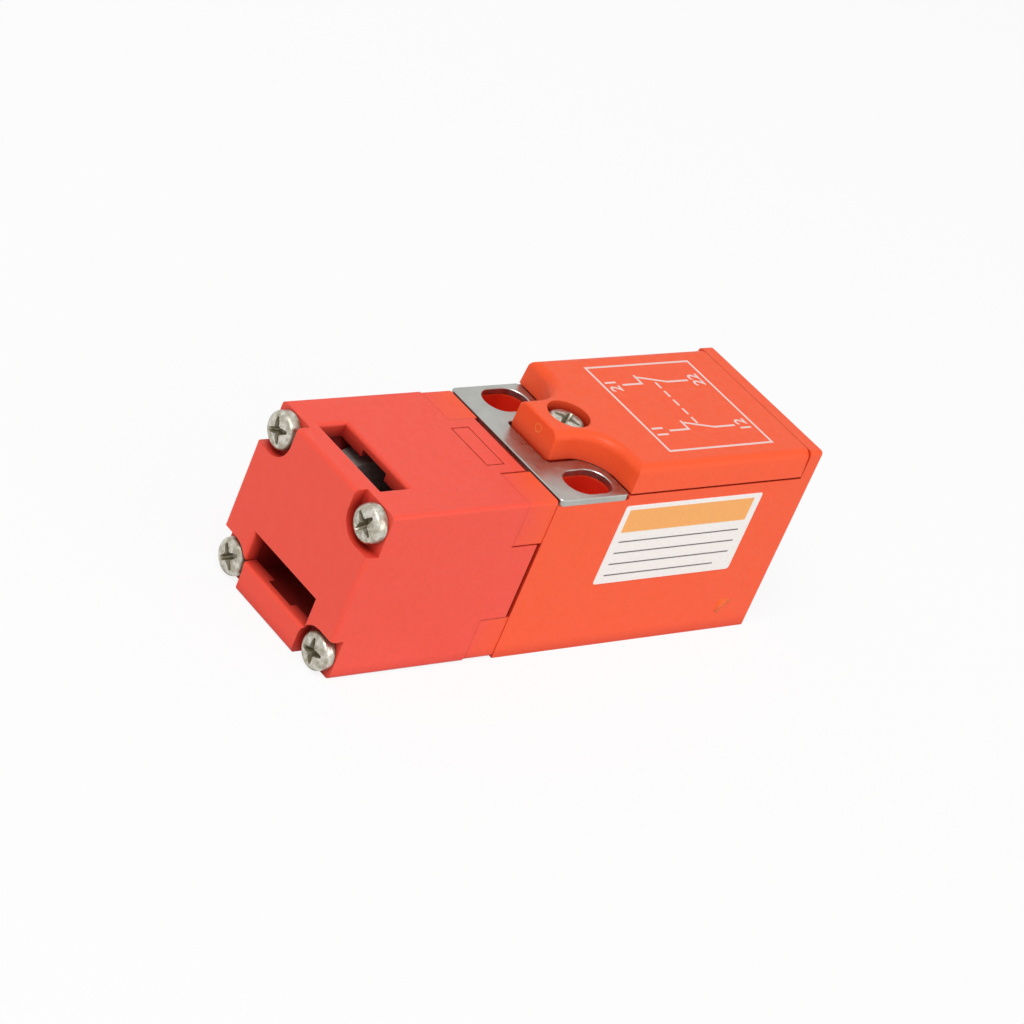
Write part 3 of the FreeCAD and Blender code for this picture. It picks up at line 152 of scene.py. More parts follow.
# ---- materials -----------------------------------------------------------------------------------
class Surface:
    """A procedural material under construction."""

    def __init__(self, name, base, roughness, metallic=0.0):
        self.material = bpy.data.materials.new(name)
        self.material.use_nodes = True
        self.tree = self.material.node_tree
        self.tree.nodes.clear()
        output = self.add("ShaderNodeOutputMaterial")
        self.bsdf = self.add("ShaderNodeBsdfPrincipled")
        self.tree.links.new(self.bsdf.outputs["BSDF"], output.inputs["Surface"])
        self.bsdf.inputs["Base Color"].default_value = (*base, 1)
        self.bsdf.inputs["Roughness"].default_value = roughness
        self.bsdf.inputs["Metallic"].default_value = metallic
        self.bsdf.inputs["Specular IOR Level"].default_value = 0.5 if metallic else 0.3
        self.place = self.add("ShaderNodeTexCoord").outputs["Object"]
        self.normal = None

    def add(self, kind, **settings):
        node = self.tree.nodes.new(kind)
        for key, value in settings.items():
            setattr(node, key, value)
        return node

    def feed(self, socket, value):
        if isinstance(value, bpy.types.NodeSocket):
            self.tree.links.new(value, socket)
        else:
            socket.default_value = value

    def noise(self, size, detail=2.0, stretch=(1, 1, 1)):
        """Noise whose features are about size metres across, 0 to 1."""
        mapping = self.add("ShaderNodeMapping")
        self.feed(mapping.inputs["Vector"], self.place)
        mapping.inputs["Scale"].default_value = [s / size for s in stretch]
        node = self.add("ShaderNodeTexNoise")
        self.feed(node.inputs["Vector"], mapping.outputs["Vector"])
        node.inputs["Scale"].default_value = 1.0
        node.inputs["Detail"].default_value = detail
        return node.outputs["Fac"]

    def span(self, value, low, high, start=0.3, end=0.7):
        """value from start..end remapped to low..high."""
        node = self.add("ShaderNodeMapRange")
        self.feed(node.inputs["Value"], value)
        node.inputs["From Min"].default_value = start
        node.inputs["From Max"].default_value = end
        node.inputs["To Min"].default_value = low
        node.inputs["To Max"].default_value = high
        return node.outputs["Result"]

    def math(self, operation, a, b):
        node = self.add("ShaderNodeMath", operation=operation)
        self.feed(node.inputs[0], a)
        self.feed(node.inputs[1], b)
        return node.outputs["Value"]

    def mix(self, share, a, b):
        node = self.add("ShaderNodeMix", data_type="RGBA")
        self.feed(node.inputs["Factor"], share)
        for socket, value in ((node.inputs[6], a), (node.inputs[7], b)):
            self.feed(socket, (*value, 1) if isinstance(value, tuple) else value)
        return node.outputs[2]

    def edges(self, radius):
        """1 along sharp outer edges, falling to 0 at about radius from them."""
        bevel = self.add("ShaderNodeBevel", samples=6)
        bevel.inputs["Radius"].default_value = radius
        dot = self.add("ShaderNodeVectorMath", operation="DOT_PRODUCT")
        self.feed(dot.inputs[0], bevel.outputs["Normal"])
        self.feed(dot.inputs[1], self.add("ShaderNodeNewGeometry").outputs["True Normal"])
        return self.span(dot.outputs["Value"], 1.0, 0.0, 0.75, 0.99)

    def soften(self, radius):
        """Rounds sharp edges in the shading."""
        bevel = self.add("ShaderNodeBevel", samples=6)
        bevel.inputs["Radius"].default_value = radius
        self.normal = bevel.outputs["Normal"]

    def hollows(self, reach, closed=0.25, clear=0.85):
        """1 deep inside recesses, 0 out in the open."""
        node = self.add("ShaderNodeAmbientOcclusion", samples=8)
        node.inputs["Distance"].default_value = reach
        return self.span(node.outputs["AO"], 1.0, 0.0, closed, clear)

    def along_x(self, start, end):
        """0 at the place start along X, 1 at the place end."""
        split = self.add("ShaderNodeSeparateXYZ")
        self.feed(split.inputs["Vector"], self.place)
        return self.span(split.outputs["X"], 0.0, 1.0, start, end)

    def inside_body(self):
        """1 in the body's two mounting passages, 0 on its outer faces."""
        split = self.add("ShaderNodeSeparateXYZ")
        self.feed(split.inputs["Vector"], self.place)
        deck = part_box("mounting_plate")[0].z
        along = self.math("LESS_THAN", self.math("ABSOLUTE", split.outputs["X"], 0.0), PASSAGE_HALF_LENGTH)
        across = self.math("COMPARE", self.math("ABSOLUTE", split.outputs["Y"], 0.0), PASSAGE_ACROSS)
        across.node.inputs[2].default_value = PASSAGE_HALF_WIDTH
        down = self.span(split.outputs["Z"], 1.0, 0.0, deck - PASSAGE_TOP_FADE, deck)
        up = self.span(split.outputs["Z"], 0.0, 1.0, *PASSAGE_FOOT)
        return self.math("MULTIPLY", self.math("MULTIPLY", along, across), self.math("MULTIPLY", down, up))

    def inside_head(self):
        """1 well inside the head's wheel space and tongue slots, 0 on its outer faces."""
        split = self.add("ShaderNodeSeparateXYZ")
        self.feed(split.inputs["Vector"], self.place)
        low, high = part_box("head_housing")
        middle = (low.z + high.z) / 2
        upright = self.math("ABSOLUTE", self.math("SUBTRACT", split.outputs["Z"], middle), 0.0)
        near, deep = CAVITY_FADE
        from_end = self.span(split.outputs["X"], 0.0, 1.0, low.x + near, low.x + deep)
        from_top = self.span(upright, 1.0, 0.0, middle - deep, middle - near)
        across = self.math("ABSOLUTE", split.outputs["Y"], 0.0)
        between = self.math("LESS_THAN", across, CAVITY_HALF_WIDTH)
        return self.math("MULTIPLY", between, self.math("MULTIPLY", from_end, from_top))

    def bump(self, height, distance, strength=1.0):
        node = self.add("ShaderNodeBump")
        node.inputs["Strength"].default_value = strength
        node.inputs["Distance"].default_value = distance
        self.feed(node.inputs["Height"], height)
        if self.normal is not None:
            self.feed(node.inputs["Normal"], self.normal)
        self.normal = node.outputs["Normal"]

    def done(self, color=None, roughness=None):
        if color is not None:
            self.feed(self.bsdf.inputs["Base Color"], color)
        if roughness is not None:
            self.feed(self.bsdf.inputs["Roughness"], roughness)
        if self.normal is not None:
            self.feed(self.bsdf.inputs["Normal"], self.normal)
        return self.material


def shade(color, factor):
    return tuple(channel * factor for channel in color)


def plastic(name, base, roughness=0.44, wear_and_highlight_share=0.5, towards=None, painted_shade=None):
    """Fine matt moulded plastic: mould grain, flow mottling, and edges lightened partly by abrasion and
    partly by painted highlight.

    The colour towards takes over along the collar. The last pair, a mask of Surface and a colour, paints
    shade: the piece darkens towards that colour inside it, and painted shade also darkens its recesses.
    """
    s = Surface(name, base, roughness)
    s.soften(0.12 * MM)
    ground = base
    if towards:
        ground = s.mix(s.along_x(JOINT_BACK, JOINT_FRONT), base, towards)
    flow = s.mix(s.span(s.noise(2.6 * MM, 3), 0, 0.35), ground, shade(base, 1.04))
    mottle = s.mix(s.span(s.noise(0.35 * MM, 1), 0, 0.05, 0.45, 0.75), flow, (0, 0, 0))
    # painted shade: recesses darken towards a deep red, and the inside of the piece towards its shade colour
    if painted_shade:
        inside, tint = painted_shade
        mottle = s.mix(s.math("MULTIPLY", s.hollows(3.0 * MM), 0.85), mottle, PAINTED_SHADE_RED)
        mottle = s.mix(s.math("MULTIPLY", inside(s), 0.9), mottle, tint)
    # painted highlight: sharp edges lighten towards a brighter copy of the colour, partly edge abrasion and
    # partly light caught on the edges
    rubbed_and_lit = tuple(min(1.0, c * 1.04 + 0.035) for c in base)
    wear_and_highlight = s.math("MULTIPLY", s.edges(0.25 * MM), s.span(s.noise(1.7 * MM, 4), 0, wear_and_highlight_share, 0.35, 0.65))
    s.bump(s.noise(0.24 * MM, 2), 0.020 * MM)
    s.bump(s.noise(6.0 * MM, 1), 0.02 * MM)
    matt = s.span(s.noise(1.2 * MM, 3), roughness - 0.05, roughness + 0.07)
    return s.done(s.mix(wear_and_highlight, mottle, rubbed_and_lit), matt)


def zinc(name, base=ZINC):
    """Dull zinc plate, blotched, and darker, olive and less metallic in its recesses."""
    s = Surface(name, base, 0.38, metallic=1.0)
    s.soften(0.06 * MM)
    blotch = s.mix(s.span(s.noise(0.75 * MM, 4), 0, 0.95, 0.36, 0.64), base, ZINC_TARNISH)
    # darker, olive and less metallic deep in the recesses, by an occlusion mask
    recess_darkening = s.math("MULTIPLY", s.hollows(1.2 * MM, 0.48, 0.93), s.span(s.noise(0.4 * MM, 3), 0.75, 1.0))
    recess_darkened = s.mix(recess_darkening, blotch, RECESS_DARK_OLIVE)
    s.feed(s.bsdf.inputs["Metallic"], s.span(recess_darkening, 1.0, 0.15, 0.1, 0.75))
    s.bump(s.noise(0.13 * MM, 3), 0.009 * MM)
    return s.done(recess_darkened, s.span(s.noise(0.45 * MM, 3), 0.25, 0.5))


def sheet_steel():
    """Satin stainless sheet: fine grinding lines along Y, faint smears."""
    s = Surface("stainless_sheet", STEEL, 0.34, metallic=1.0)
    s.soften(0.07 * MM)
    smear = s.mix(s.span(s.noise(2.2 * MM, 4), 0, 1), shade(STEEL, 0.90), shade(STEEL, 1.06))
    grind = s.noise(1.0 * MM, 4, (26, 1.2, 1))
    tint = s.mix(s.span(grind, 0, 0.35), smear, shade(STEEL, 0.80))
    s.bump(grind, 0.004 * MM)
    return s.done(tint, s.span(s.noise(0.9 * MM, 3), 0.27, 0.42))


def metal(name, base, roughness, grain, metallic=1.0):
    s = Surface(name, base, roughness, metallic)
    s.soften(0.05 * MM)
    mottle = s.mix(s.span(s.noise(grain * 4, 3), 0, 1), shade(base, 0.8), shade(base, 1.12))
    s.bump(s.noise(grain, 3), 0.006 * MM)
    return s.done(mottle, s.span(s.noise(grain * 2, 2), roughness - 0.07, roughness + 0.09))


def rubber(name):
    s = Surface(name, (0.022, 0.022, 0.024), 0.72)
    dusty = s.mix(s.span(s.noise(0.8 * MM, 4), 0, 1), (0.016, 0.016, 0.017), (0.040, 0.038, 0.036))
    s.bump(s.noise(0.12 * MM, 2), 0.008 * MM)
    return s.done(dusty, s.span(s.noise(0.5 * MM, 2), 0.62, 0.82))


def printed(name, base, roughness=0.45):
    """Ink or label stock: slightly uneven cover and a faint tooth."""
    s = Surface(name, base, roughness)
    uneven = s.mix(s.span(s.noise(0.5 * MM, 3), 0, 1), shade(base, 0.94), base)
    s.bump(s.noise(0.2 * MM, 2), 0.003 * MM)
    return s.done(uneven, s.span(s.noise(1.5 * MM, 2), roughness - 0.05, roughness + 0.08))


LOOKS = {
    # painted shade: the head darkens inside its wheel space and tongue slots and in its recesses
    "head_red": plastic("head_red", HEAD_RED, painted_shade=(Surface.inside_head, CAVITY_SHADE_RED)),
    # painted shade: the body darkens in its mounting passages and in its recesses
    "body_orange_red": plastic("body_orange_red", BODY_ORANGE, towards=HEAD_RED,
                               painted_shade=(Surface.inside_body, PASSAGE_SHADE_RED)),
    "stainless_sheet": sheet_steel(),
    "zinc_screw": zinc("zinc_screw"),
    "wheel_grey": metal("wheel_grey", WHEEL_GREY, 0.48, 0.14 * MM, 0.3),
    "spring_steel": metal("spring_steel", (0.52, 0.52, 0.54), 0.26, 0.1 * MM),
    "seal_black": rubber("seal_black"),
    "plunger_white": plastic("plunger_white", (0.76, 0.75, 0.70), 0.34, 0.1),
    "contact_black": plastic("contact_black", (0.030, 0.030, 0.033), 0.46, 0.6),
    "contact_metal": metal("contact_metal", (0.80, 0.60, 0.27), 0.28, 0.1 * MM),
}
SLOT_OF = {part["node"]: part["material_slot"] for part in frame["record"]["subparts"]}
for name, node in frame["nodes"].items():
    for place in node.material_slots:
        place.material = LOOKS[SLOT_OF[name]]


# ---- mesh helpers --------------------------------------------------------------------------------
def piece(name, mesh, look, body, smooth=True):
    """A finished object that rides on a body."""
    if smooth:
        mesh.shade_smooth()
    thing = bpy.data.objects.new(name, mesh)
    thing.data.materials.append(look)
    bpy.context.scene.collection.objects.link(thing)
    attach(thing, body)
    return thing


def mesh_of(name, vertices, faces):
    mesh = bpy.data.meshes.new(name)
    mesh.from_pydata(vertices, [], faces)
    mesh.validate()
    return mesh


def tube_faces(rows, columns):
    """Quads over rows of points that close round."""
    return [(r * columns + c, r * columns + (c + 1) % columns,
             (r + 1) * columns + (c + 1) % columns, (r + 1) * columns + c)
            for r in range(rows - 1) for c in range(columns)]


def lathe(profile, columns):
    """Vertices and faces of (radius, height) points turned about Z, with both ends closed."""
    vertices = [(r * math.cos(2 * math.pi * c / columns), r * math.sin(2 * math.pi * c / columns), z)
                for r, z in profile for c in range(columns)]
    faces = tube_faces(len(profile), columns)
    last = len(vertices) - columns
    faces.append(tuple(reversed(range(columns))))
    faces.append(tuple(range(last, last + columns)))
    return vertices, faces


def thread_wave(turn):
    """0 at the root to 1 at the crest of a rounded V thread, by the fraction of a turn."""
    return 0.5 - 0.5 * math.cos(2 * math.pi * turn)


def screw_profile(radius, height, shank, length):
    """The shank's plain neck, the seat, the wall, its rounded rim and the low crown, from below."""
    rim = 0.34 * height
    crown = 0.10 * height
    wall = height - rim - crown
    turned = []
    steps = 8
    for i in range(steps + 1):
        angle = math.radians(84) * i / steps
        turned.append((radius - rim + rim * math.cos(angle), wall + rim * math.sin(angle)))
    flat_radius, flat_height = turned[-1]
    for share in (0.66, 0.33, 0.02):
        turned.append((flat_radius * share, flat_height + (height - flat_height) * (1 - share ** 2)))
    return [(shank, -length), (shank, 0), (radius - 0.08 * MM, 0), (radius, 0.08 * MM)] + turned


def recess_cutter(reach, width, depth, top, turn):
    """A cross with tapered wings and a wide throat, as one closed cutter that narrows downwards."""
    levels = ((top - depth, 0.30 * reach, 0.26 * width), (top - 0.55 * depth, 0.74 * reach, 0.42 * width),
              (top, reach, 0.5 * width), (top + depth, reach, 0.5 * width))
    vertices = []
    for height, far, half in levels:
        for quarter in range(4):
            spin = turn + math.pi / 2 * quarter
            for x, y in ((0.55 * far, -half), (far, -0.45 * half), (far, 0.45 * half), (0.55 * far, half),
                         (1.15 * half, 1.15 * half)):
                vertices.append((x * math.cos(spin) - y * math.sin(spin),
                                 x * math.sin(spin) + y * math.cos(spin), height))
    faces = tube_faces(4, 20)
    faces.append(tuple(reversed(range(20))))
    faces.append(tuple(range(60, 80)))
    return vertices, faces


def carve(target, vertices, faces):
    """Cuts one set of closed wedges out of an object."""
    tool = bpy.data.objects.new("tool", mesh_of("tool", vertices, faces))
    bpy.context.scene.collection.objects.link(tool)
    cut = target.modifiers.new("cut", "BOOLEAN")
    cut.operation = "DIFFERENCE"
    cut.solver = "EXACT"
    cut.use_self = True
    cut.object = tool
    graph = bpy.context.evaluated_depsgraph_get()
    carved = bpy.data.meshes.new_from_object(target.evaluated_get(graph))
    target.modifiers.remove(cut)
    target.data = carved
    bpy.data.objects.remove(tool)


def threaded_shank(radius, length, start):
    """A screw thread below the neck, run out at both ends."""
    columns = 32
    per_pitch = 8
    rows = int(length / SCREW_PITCH * per_pitch)
    vertices = []
    for row in range(rows + 1):
        depth = length * row / rows
        fade = min(1.0, depth / SCREW_PITCH, (length - depth) / SCREW_PITCH)
        taper = 1.0 - 0.35 * max(0.0, 1 - (length - depth) / (1.5 * SCREW_PITCH))
        for c in range(columns):
            wave = thread_wave(depth / SCREW_PITCH - c / columns)
            r = (radius - THREAD_DEPTH * (1 - wave * fade)) * taper
            angle = 2 * math.pi * c / columns
            vertices.append((r * math.cos(angle), r * math.sin(angle), start - depth))
    faces = [tuple(reversed(f)) for f in tube_faces(rows + 1, columns)]
    faces.append(tuple(range(columns)))
    last = rows * columns
    faces.append(tuple(reversed(range(last, last + columns))))
    return vertices, faces


def screw(name, radius, height, shank, length, turn, placing, body):
    """A cross-recessed pan-head screw, carved and threaded along Z, then placed."""
    neck = 0.7 * MM
    vertices, faces = lathe(screw_profile(radius, height, shank - THREAD_DEPTH, neck), 64)
    mesh = mesh_of(name, vertices, faces)
    thing = bpy.data.objects.new(name, mesh)
    bpy.context.scene.collection.objects.link(thing)
    carve(thing, *recess_cutter(0.76 * radius, 0.82 * MM, 1.2 * MM, height, turn))
    carve(thing, *recess_cutter(0.55 * radius, 0.16 * MM, 0.16 * MM, height, turn + math.radians(45)))
    both = bmesh.new()
    both.from_mesh(thing.data)
    rod, sides = threaded_shank(shank, length - neck, -neck)
    both.from_mesh(mesh_of("rod", rod, sides))
    both.transform(placing)
    both.to_mesh(thing.data)
    both.free()
    thing.data.materials.clear()
    thing.data.materials.append(LOOKS["zinc_screw"])
    thing.data.shade_smooth()
    thing.data.set_sharp_from_angle(angle=math.radians(32))
    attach(thing, body)
    return thing


# ---- screws ---------------------------------------------------------------------------------------
heads_low, heads_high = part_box("head_screws")
seat_x = heads_low.x + HEAD_SCREW_HEIGHT
TURNS = {(-1, -1): 12, (-1, 1): 58, (1, -1): 40, (1, 1): 25}
for (side_y, side_z), degrees in TURNS.items():
    corner = heads_high if side_y > 0 else heads_low
    y = corner.y - side_y * HEAD_SCREW_RADIUS
    z = (heads_high.z - HEAD_SCREW_RADIUS) if side_z > 0 else (heads_low.z + HEAD_SCREW_RADIUS)
    placing = Matrix.Translation((seat_x, y, z)) @ Matrix.Rotation(math.radians(-90), 4, "Y")
    name = "head_screw_%s_%s" % ("far" if side_y > 0 else "near", "top" if side_z > 0 else "low")
    head_screw = screw(name, HEAD_SCREW_RADIUS, HEAD_SCREW_CROWN, HEAD_SCREW_SHANK,
                       heads_high.x - seat_x, math.radians(degrees), placing, "housing")
    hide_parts("head_screws")

screw_low, screw_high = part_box("cover_screw")
screw_axis = (screw_low + screw_high) / 2
cover_seat = screw_high.z - COVER_SCREW_HEIGHT
cover_screw = screw("cover_screw_detail", COVER_SCREW_RADIUS, COVER_SCREW_HEIGHT, HEAD_SCREW_SHANK,
                    cover_seat - screw_low.z, math.radians(30),
                    Matrix.Translation((screw_axis.x, screw_axis.y, cover_seat)), "lid")
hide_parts("cover_screw")


# ---- conduit thread and joint flash ---------------------------------------------------------------
def rounded_outline(length, height, corner, steps=6):
    """Points round a rectangle with its lower left corner at the origin."""
    points = []
    for cx, cy, first in ((length - corner, corner, -90), (length - corner, height - corner, 0),
                          (corner, height - corner, 90), (corner, corner, 180)):
        for i in range(steps + 1):
            angle = math.radians(first + 90 * i / steps)
            points.append((cx + corner * math.cos(angle), cy + corner * math.sin(angle)))
    return points


def joint_flash():
    """The low bead of plastic in the V between head and collar; the head's tabs cover its middle parts."""
    low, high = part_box("head_housing")
    size = high.z - low.z - 2 * JOINT_BEAD_DEPTH
    outer = rounded_outline(size, size, JOINT_CORNER)
    inner = [(size / 2 + (x - size / 2) * 0.975, size / 2 + (y - size / 2) * 0.975) for x, y in outer]
    vertices = []
    for x, ring in ((JOINT_FRONT - JOINT_BEAD, outer), (JOINT_FRONT - HAIR, outer),
                    (JOINT_FRONT - HAIR, inner), (JOINT_FRONT - JOINT_BEAD, inner)):
        for across, up in ring:
            vertices.append((x, low.y + JOINT_BEAD_DEPTH + across, low.z + JOINT_BEAD_DEPTH + up))
    count = len(outer)
    faces = tube_faces(4, count)
    faces += [(3 * count + c, 3 * count + (c + 1) % count, (c + 1) % count, c) for c in range(count)]
    mesh = mesh_of("joint_flash", vertices, faces)
    return piece("joint_flash", mesh, LOOKS["head_red"], "housing", smooth=False)


def conduit_thread():
    """The internal thread as a ring between the bore's wall and the crests."""
    low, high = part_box("body_housing")
    axis = (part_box("plunger")[0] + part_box("plunger")[1]) / 2
    start = high.x - CONDUIT_DEPTH
    length = CONDUIT_DEPTH - CONDUIT_CHAMFER
    columns = 72
    rows = 52
    wall = CONDUIT_RADIUS - HAIR
    root = wall - 8 * HAIR
    vertices = []
    for row in range(rows + 1):
        along = length * row / rows
        fade = min(1.0, along / (0.5 * CONDUIT_PITCH), (length - along) / (0.5 * CONDUIT_PITCH))
        for c in range(columns):
            wave = thread_wave(along / CONDUIT_PITCH - c / columns) * fade
            r = root - (root - CONDUIT_CREST_RADIUS) * wave
            angle = 2 * math.pi * c / columns
            vertices.append((start + along, axis.y + r * math.cos(angle), axis.z + r * math.sin(angle)))
    inner = len(vertices)
    for x in (start + length, start):
        for c in range(columns):
            angle = 2 * math.pi * c / columns
            vertices.append((x, axis.y + wall * math.cos(angle), axis.z + wall * math.sin(angle)))
    faces = tube_faces(rows + 3, columns)
    last = inner + columns
    faces += [(last + c, last + (c + 1) % columns, (c + 1) % columns, c) for c in range(columns)]
    mesh = mesh_of("conduit_thread", vertices, [tuple(reversed(f)) for f in faces])
    return piece("conduit_thread", mesh, LOOKS["body_orange_red"], "housing")


joint_flash()
conduit_thread()


# ---- label, lid print and gate marks --------------------------------------------------------------
def plane_at(origin, right, up, out):
    """A placing whose x, y and z run along right, up and out."""
    return Matrix.Translation(origin) @ Matrix((right, up, out)).transposed().to_4x4()


def slab(name, outline, thickness, placing, look, body):
    """A thin plate with a bevelled upper edge, from an outline in its own plane."""
    count = len(outline)
    middle = Vector((sum(p[0] for p in outline) / count, sum(p[1] for p in outline) / count))
    edge = thickness * 0.4
    vertices = []
    for inset, height in ((0, 0), (0, thickness - edge), (edge, thickness)):
        for x, y in outline:
            inward = middle - Vector((x, y))
            inward = inward.normalized() * inset if inward.length else inward
            vertices.append(placing @ Vector((x + inward.x, y + inward.y, height)))
    faces = tube_faces(3, count)
    faces.append(tuple(reversed(range(count))))
    faces.append(tuple(range(2 * count, 3 * count)))
    return piece(name, mesh_of(name, vertices, faces), look, body, smooth=False)


body_low, body_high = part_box("body_housing")
cover_low, cover_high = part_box("cover")
label_white = printed("label_white", LABEL_WHITE, 0.34)
label_orange = printed("label_orange", LABEL_ORANGE, 0.34)
label_ink = printed("label_ink", PRINT_GREY, 0.5)
lid_ink = printed("lid_ink", PRINT_WHITE, 0.5)

# Right, up and out on the label's side, on the lid, where the print's top is by the boss, and on its boss.
SIDE_WAYS = ((1, 0, 0), (0, 0, 1), (0, -1, 0))
LID_WAYS = ((0, 1, 0), (-1, 0, 0), (0, 0, 1))
BOSS_WAYS = ((0, -1, 0), (0, 0, 1), (-1, 0, 0))

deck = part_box("mounting_plate")[1].z
label_x = body_low.x + LABEL_SETBACK
label_z = deck - LABEL_TOP_MARGIN - LABEL_HEIGHT
side_plane = plane_at((label_x, body_low.y, label_z), *SIDE_WAYS)
slab("side_label", rounded_outline(LABEL_LENGTH, LABEL_HEIGHT, LABEL_CORNER), LABEL_THICKNESS,
     side_plane, label_white, "housing")


def on_label(name, x, y, length, height, look):
    lift = Matrix.Translation((x, y, LABEL_THICKNESS))
    slab(name, rounded_outline(length, height, min(0.12 * MM, height * 0.3), 3), PRINT_THICKNESS,
         side_plane @ lift, look, "housing")


on_label("label_band", BAND_LEFT, LABEL_HEIGHT - BAND_MARGIN - BAND_HEIGHT,
         LABEL_LENGTH - BAND_LEFT - BAND_RIGHT, BAND_HEIGHT, label_orange)
for line, rule_length in enumerate(RULE_LENGTHS):
    on_label("label_rule_%d" % (line + 1), RULE_LEFT, RULE_FOOT + RULE_PITCH * line,
             rule_length, RULE_WIDTH, label_ink)


def lid_plane(x, y):
    return plane_at((x, y, cover_high.z), *LID_WAYS)


def ribbon(points, width, closed=False):
    """A flat printed line through points on the lid, mitred at its corners."""
    spots = [Vector(point) for point in points]
    count = len(spots)
    vertices = []
    for i, here in enumerate(spots):
        into = (here - spots[i - 1]).normalized() if closed or i else None
        out = (spots[(i + 1) % count] - here).normalized() if closed or i < count - 1 else into
        into = into or out
        left = Vector((-into.y, into.x))
        corner = (left + Vector((-out.y, out.x))).normalized()
        reach = width / 2 / corner.dot(left)
        for side in (-1, 1):
            edge = here + corner * side * reach
            vertices += [(edge.x, edge.y, 0), (edge.x, edge.y, PRINT_THICKNESS)]
    faces = []
    for i in range(count if closed else count - 1):
        a = 4 * i
        b = 4 * ((i + 1) % count)
        faces += [(a + 1, b + 1, b + 3, a + 3), (a + 2, b + 2, b, a),
                  (a, b, b + 1, a + 1), (b + 2, a + 2, a + 3, b + 3)]
    if not closed:
        last = 4 * (count - 1)
        faces += [(2, 0, 1, 3), (last, last + 2, last + 3, last + 1)]
    return vertices, faces


def printed_mark(name, parts, plane):
    vertices = []
    faces = []
    for marks, sides in parts:
        base = len(vertices)
        vertices += [plane @ Vector(v) for v in marks]
        faces += [tuple(base + k for k in f) for f in sides]
    return piece(name, mesh_of(name, vertices, faces), lid_ink, "lid", smooth=False)


def numeral(name, text, x, y):
    """A terminal number, printed on the lid."""
    curve = bpy.data.curves.new(name, "FONT")
    curve.body = text
    curve.size = NUMERAL_SIZE
    curve.align_x = "CENTER"
    curve.align_y = "CENTER"
    curve.extrude = PRINT_THICKNESS / 2
    curve.resolution_u = 3
    curve.offset = NUMERAL_SWELL
    typed = bpy.data.objects.new(name, curve)
    bpy.context.scene.collection.objects.link(typed)
    graph = bpy.context.evaluated_depsgraph_get()
    mesh = bpy.data.meshes.new_from_object(typed.evaluated_get(graph))
    bpy.data.objects.remove(typed)
    mesh.transform(lid_plane(x, y) @ Matrix.Translation((0, 0, PRINT_THICKNESS / 2)))
    return piece(name, mesh, lid_ink, "lid", smooth=False)


# The diagram's own measures, in millimetres from its middle.
CONTACT_SPREAD = 5.2
FRAME_HALF = 9.4
LEAD_END = 6.0
STUB_HEIGHT = 2.5
STUB_LENGTH = 1.9
BLADE_FOOT = -2.2
BLADE_LEAN = 1.5
BLADE_GAP = 0.23
DASH_START = 1.1 - CONTACT_SPREAD
DASH_PITCH = 2.0
DASH_LENGTH = 1.35
NUMERAL_REACH = 7.6


def contact_symbol(middle):
    """A break contact: the fixed lead with its stub, and the blade that rests against it."""
    lean = BLADE_LEAN / (STUB_HEIGHT - BLADE_FOOT)
    blade_top = STUB_HEIGHT - BLADE_GAP
    blade_tip = (middle + lean * (blade_top - BLADE_FOOT), blade_top)
    fixed = [(middle, LEAD_END), (middle, STUB_HEIGHT), (middle + STUB_LENGTH, STUB_HEIGHT)]
    moving = [(middle, -LEAD_END), (middle, BLADE_FOOT), blade_tip]
    return [fixed, moving]


def lid_diagram():
    frame_line = [(-FRAME_HALF, -FRAME_HALF), (FRAME_HALF, -FRAME_HALF), (FRAME_HALF, FRAME_HALF),
                  (-FRAME_HALF, FRAME_HALF)]
    lines = contact_symbol(-CONTACT_SPREAD) + contact_symbol(CONTACT_SPREAD)
    for dash in range(5):
        here = DASH_START + DASH_PITCH * dash
        lines.append([(here, 0), (here + DASH_LENGTH, 0)])
    parts = [ribbon([(x * MM, y * MM) for x, y in line], INK_WIDTH) for line in lines]
    parts.append(ribbon([(x * MM, y * MM) for x, y in frame_line], INK_WIDTH, closed=True))
    printed_mark("lid_diagram", parts, lid_plane(diagram_x, 0))


diagram_x = (cover_low.x + cover_high.x) / 2 + DIAGRAM_SHIFT
lid_diagram()
for text, side, end in (("11", -1, 1), ("12", -1, -1), ("21", 1, 1), ("22", 1, -1)):
    numeral("lid_number_" + text, text, diagram_x - end * NUMERAL_REACH * MM, side * CONTACT_SPREAD * MM)


def gate_mark(name, placing, radius, profile, ragged, look, body):
    """The low torn mark of a moulding gate, from shares of its radius and heights in millimetres.

    A profile that comes back down to the face leaves the middle open.
    """
    columns = 24
    vertices = []
    for share, height in profile:
        for c in range(columns):
            angle = 2 * math.pi * c / columns
            waves = math.sin(3 * angle + 0.7) + 0.6 * math.sin(2 * angle) + 0.4 * math.sin(7 * angle)
            torn = 1 + ragged * waves
            lift = 1 + 0.35 * math.sin(2 * angle + 1.1)
            r = radius * share * torn
            spot = Vector((r * math.cos(angle), r * math.sin(angle), height * lift * MM))
            vertices.append(placing @ spot)
    faces = tube_faces(len(profile), columns)
    last = (len(profile) - 1) * columns
    if profile[-1][1] == 0:
        faces += [(last + c, last + (c + 1) % columns, (c + 1) % columns, c) for c in range(columns)]
    else:
        faces.append(tuple(range(last, last + columns)))
        faces.append(tuple(reversed(range(columns))))
    return piece(name, mesh_of(name, vertices, faces), look, body)


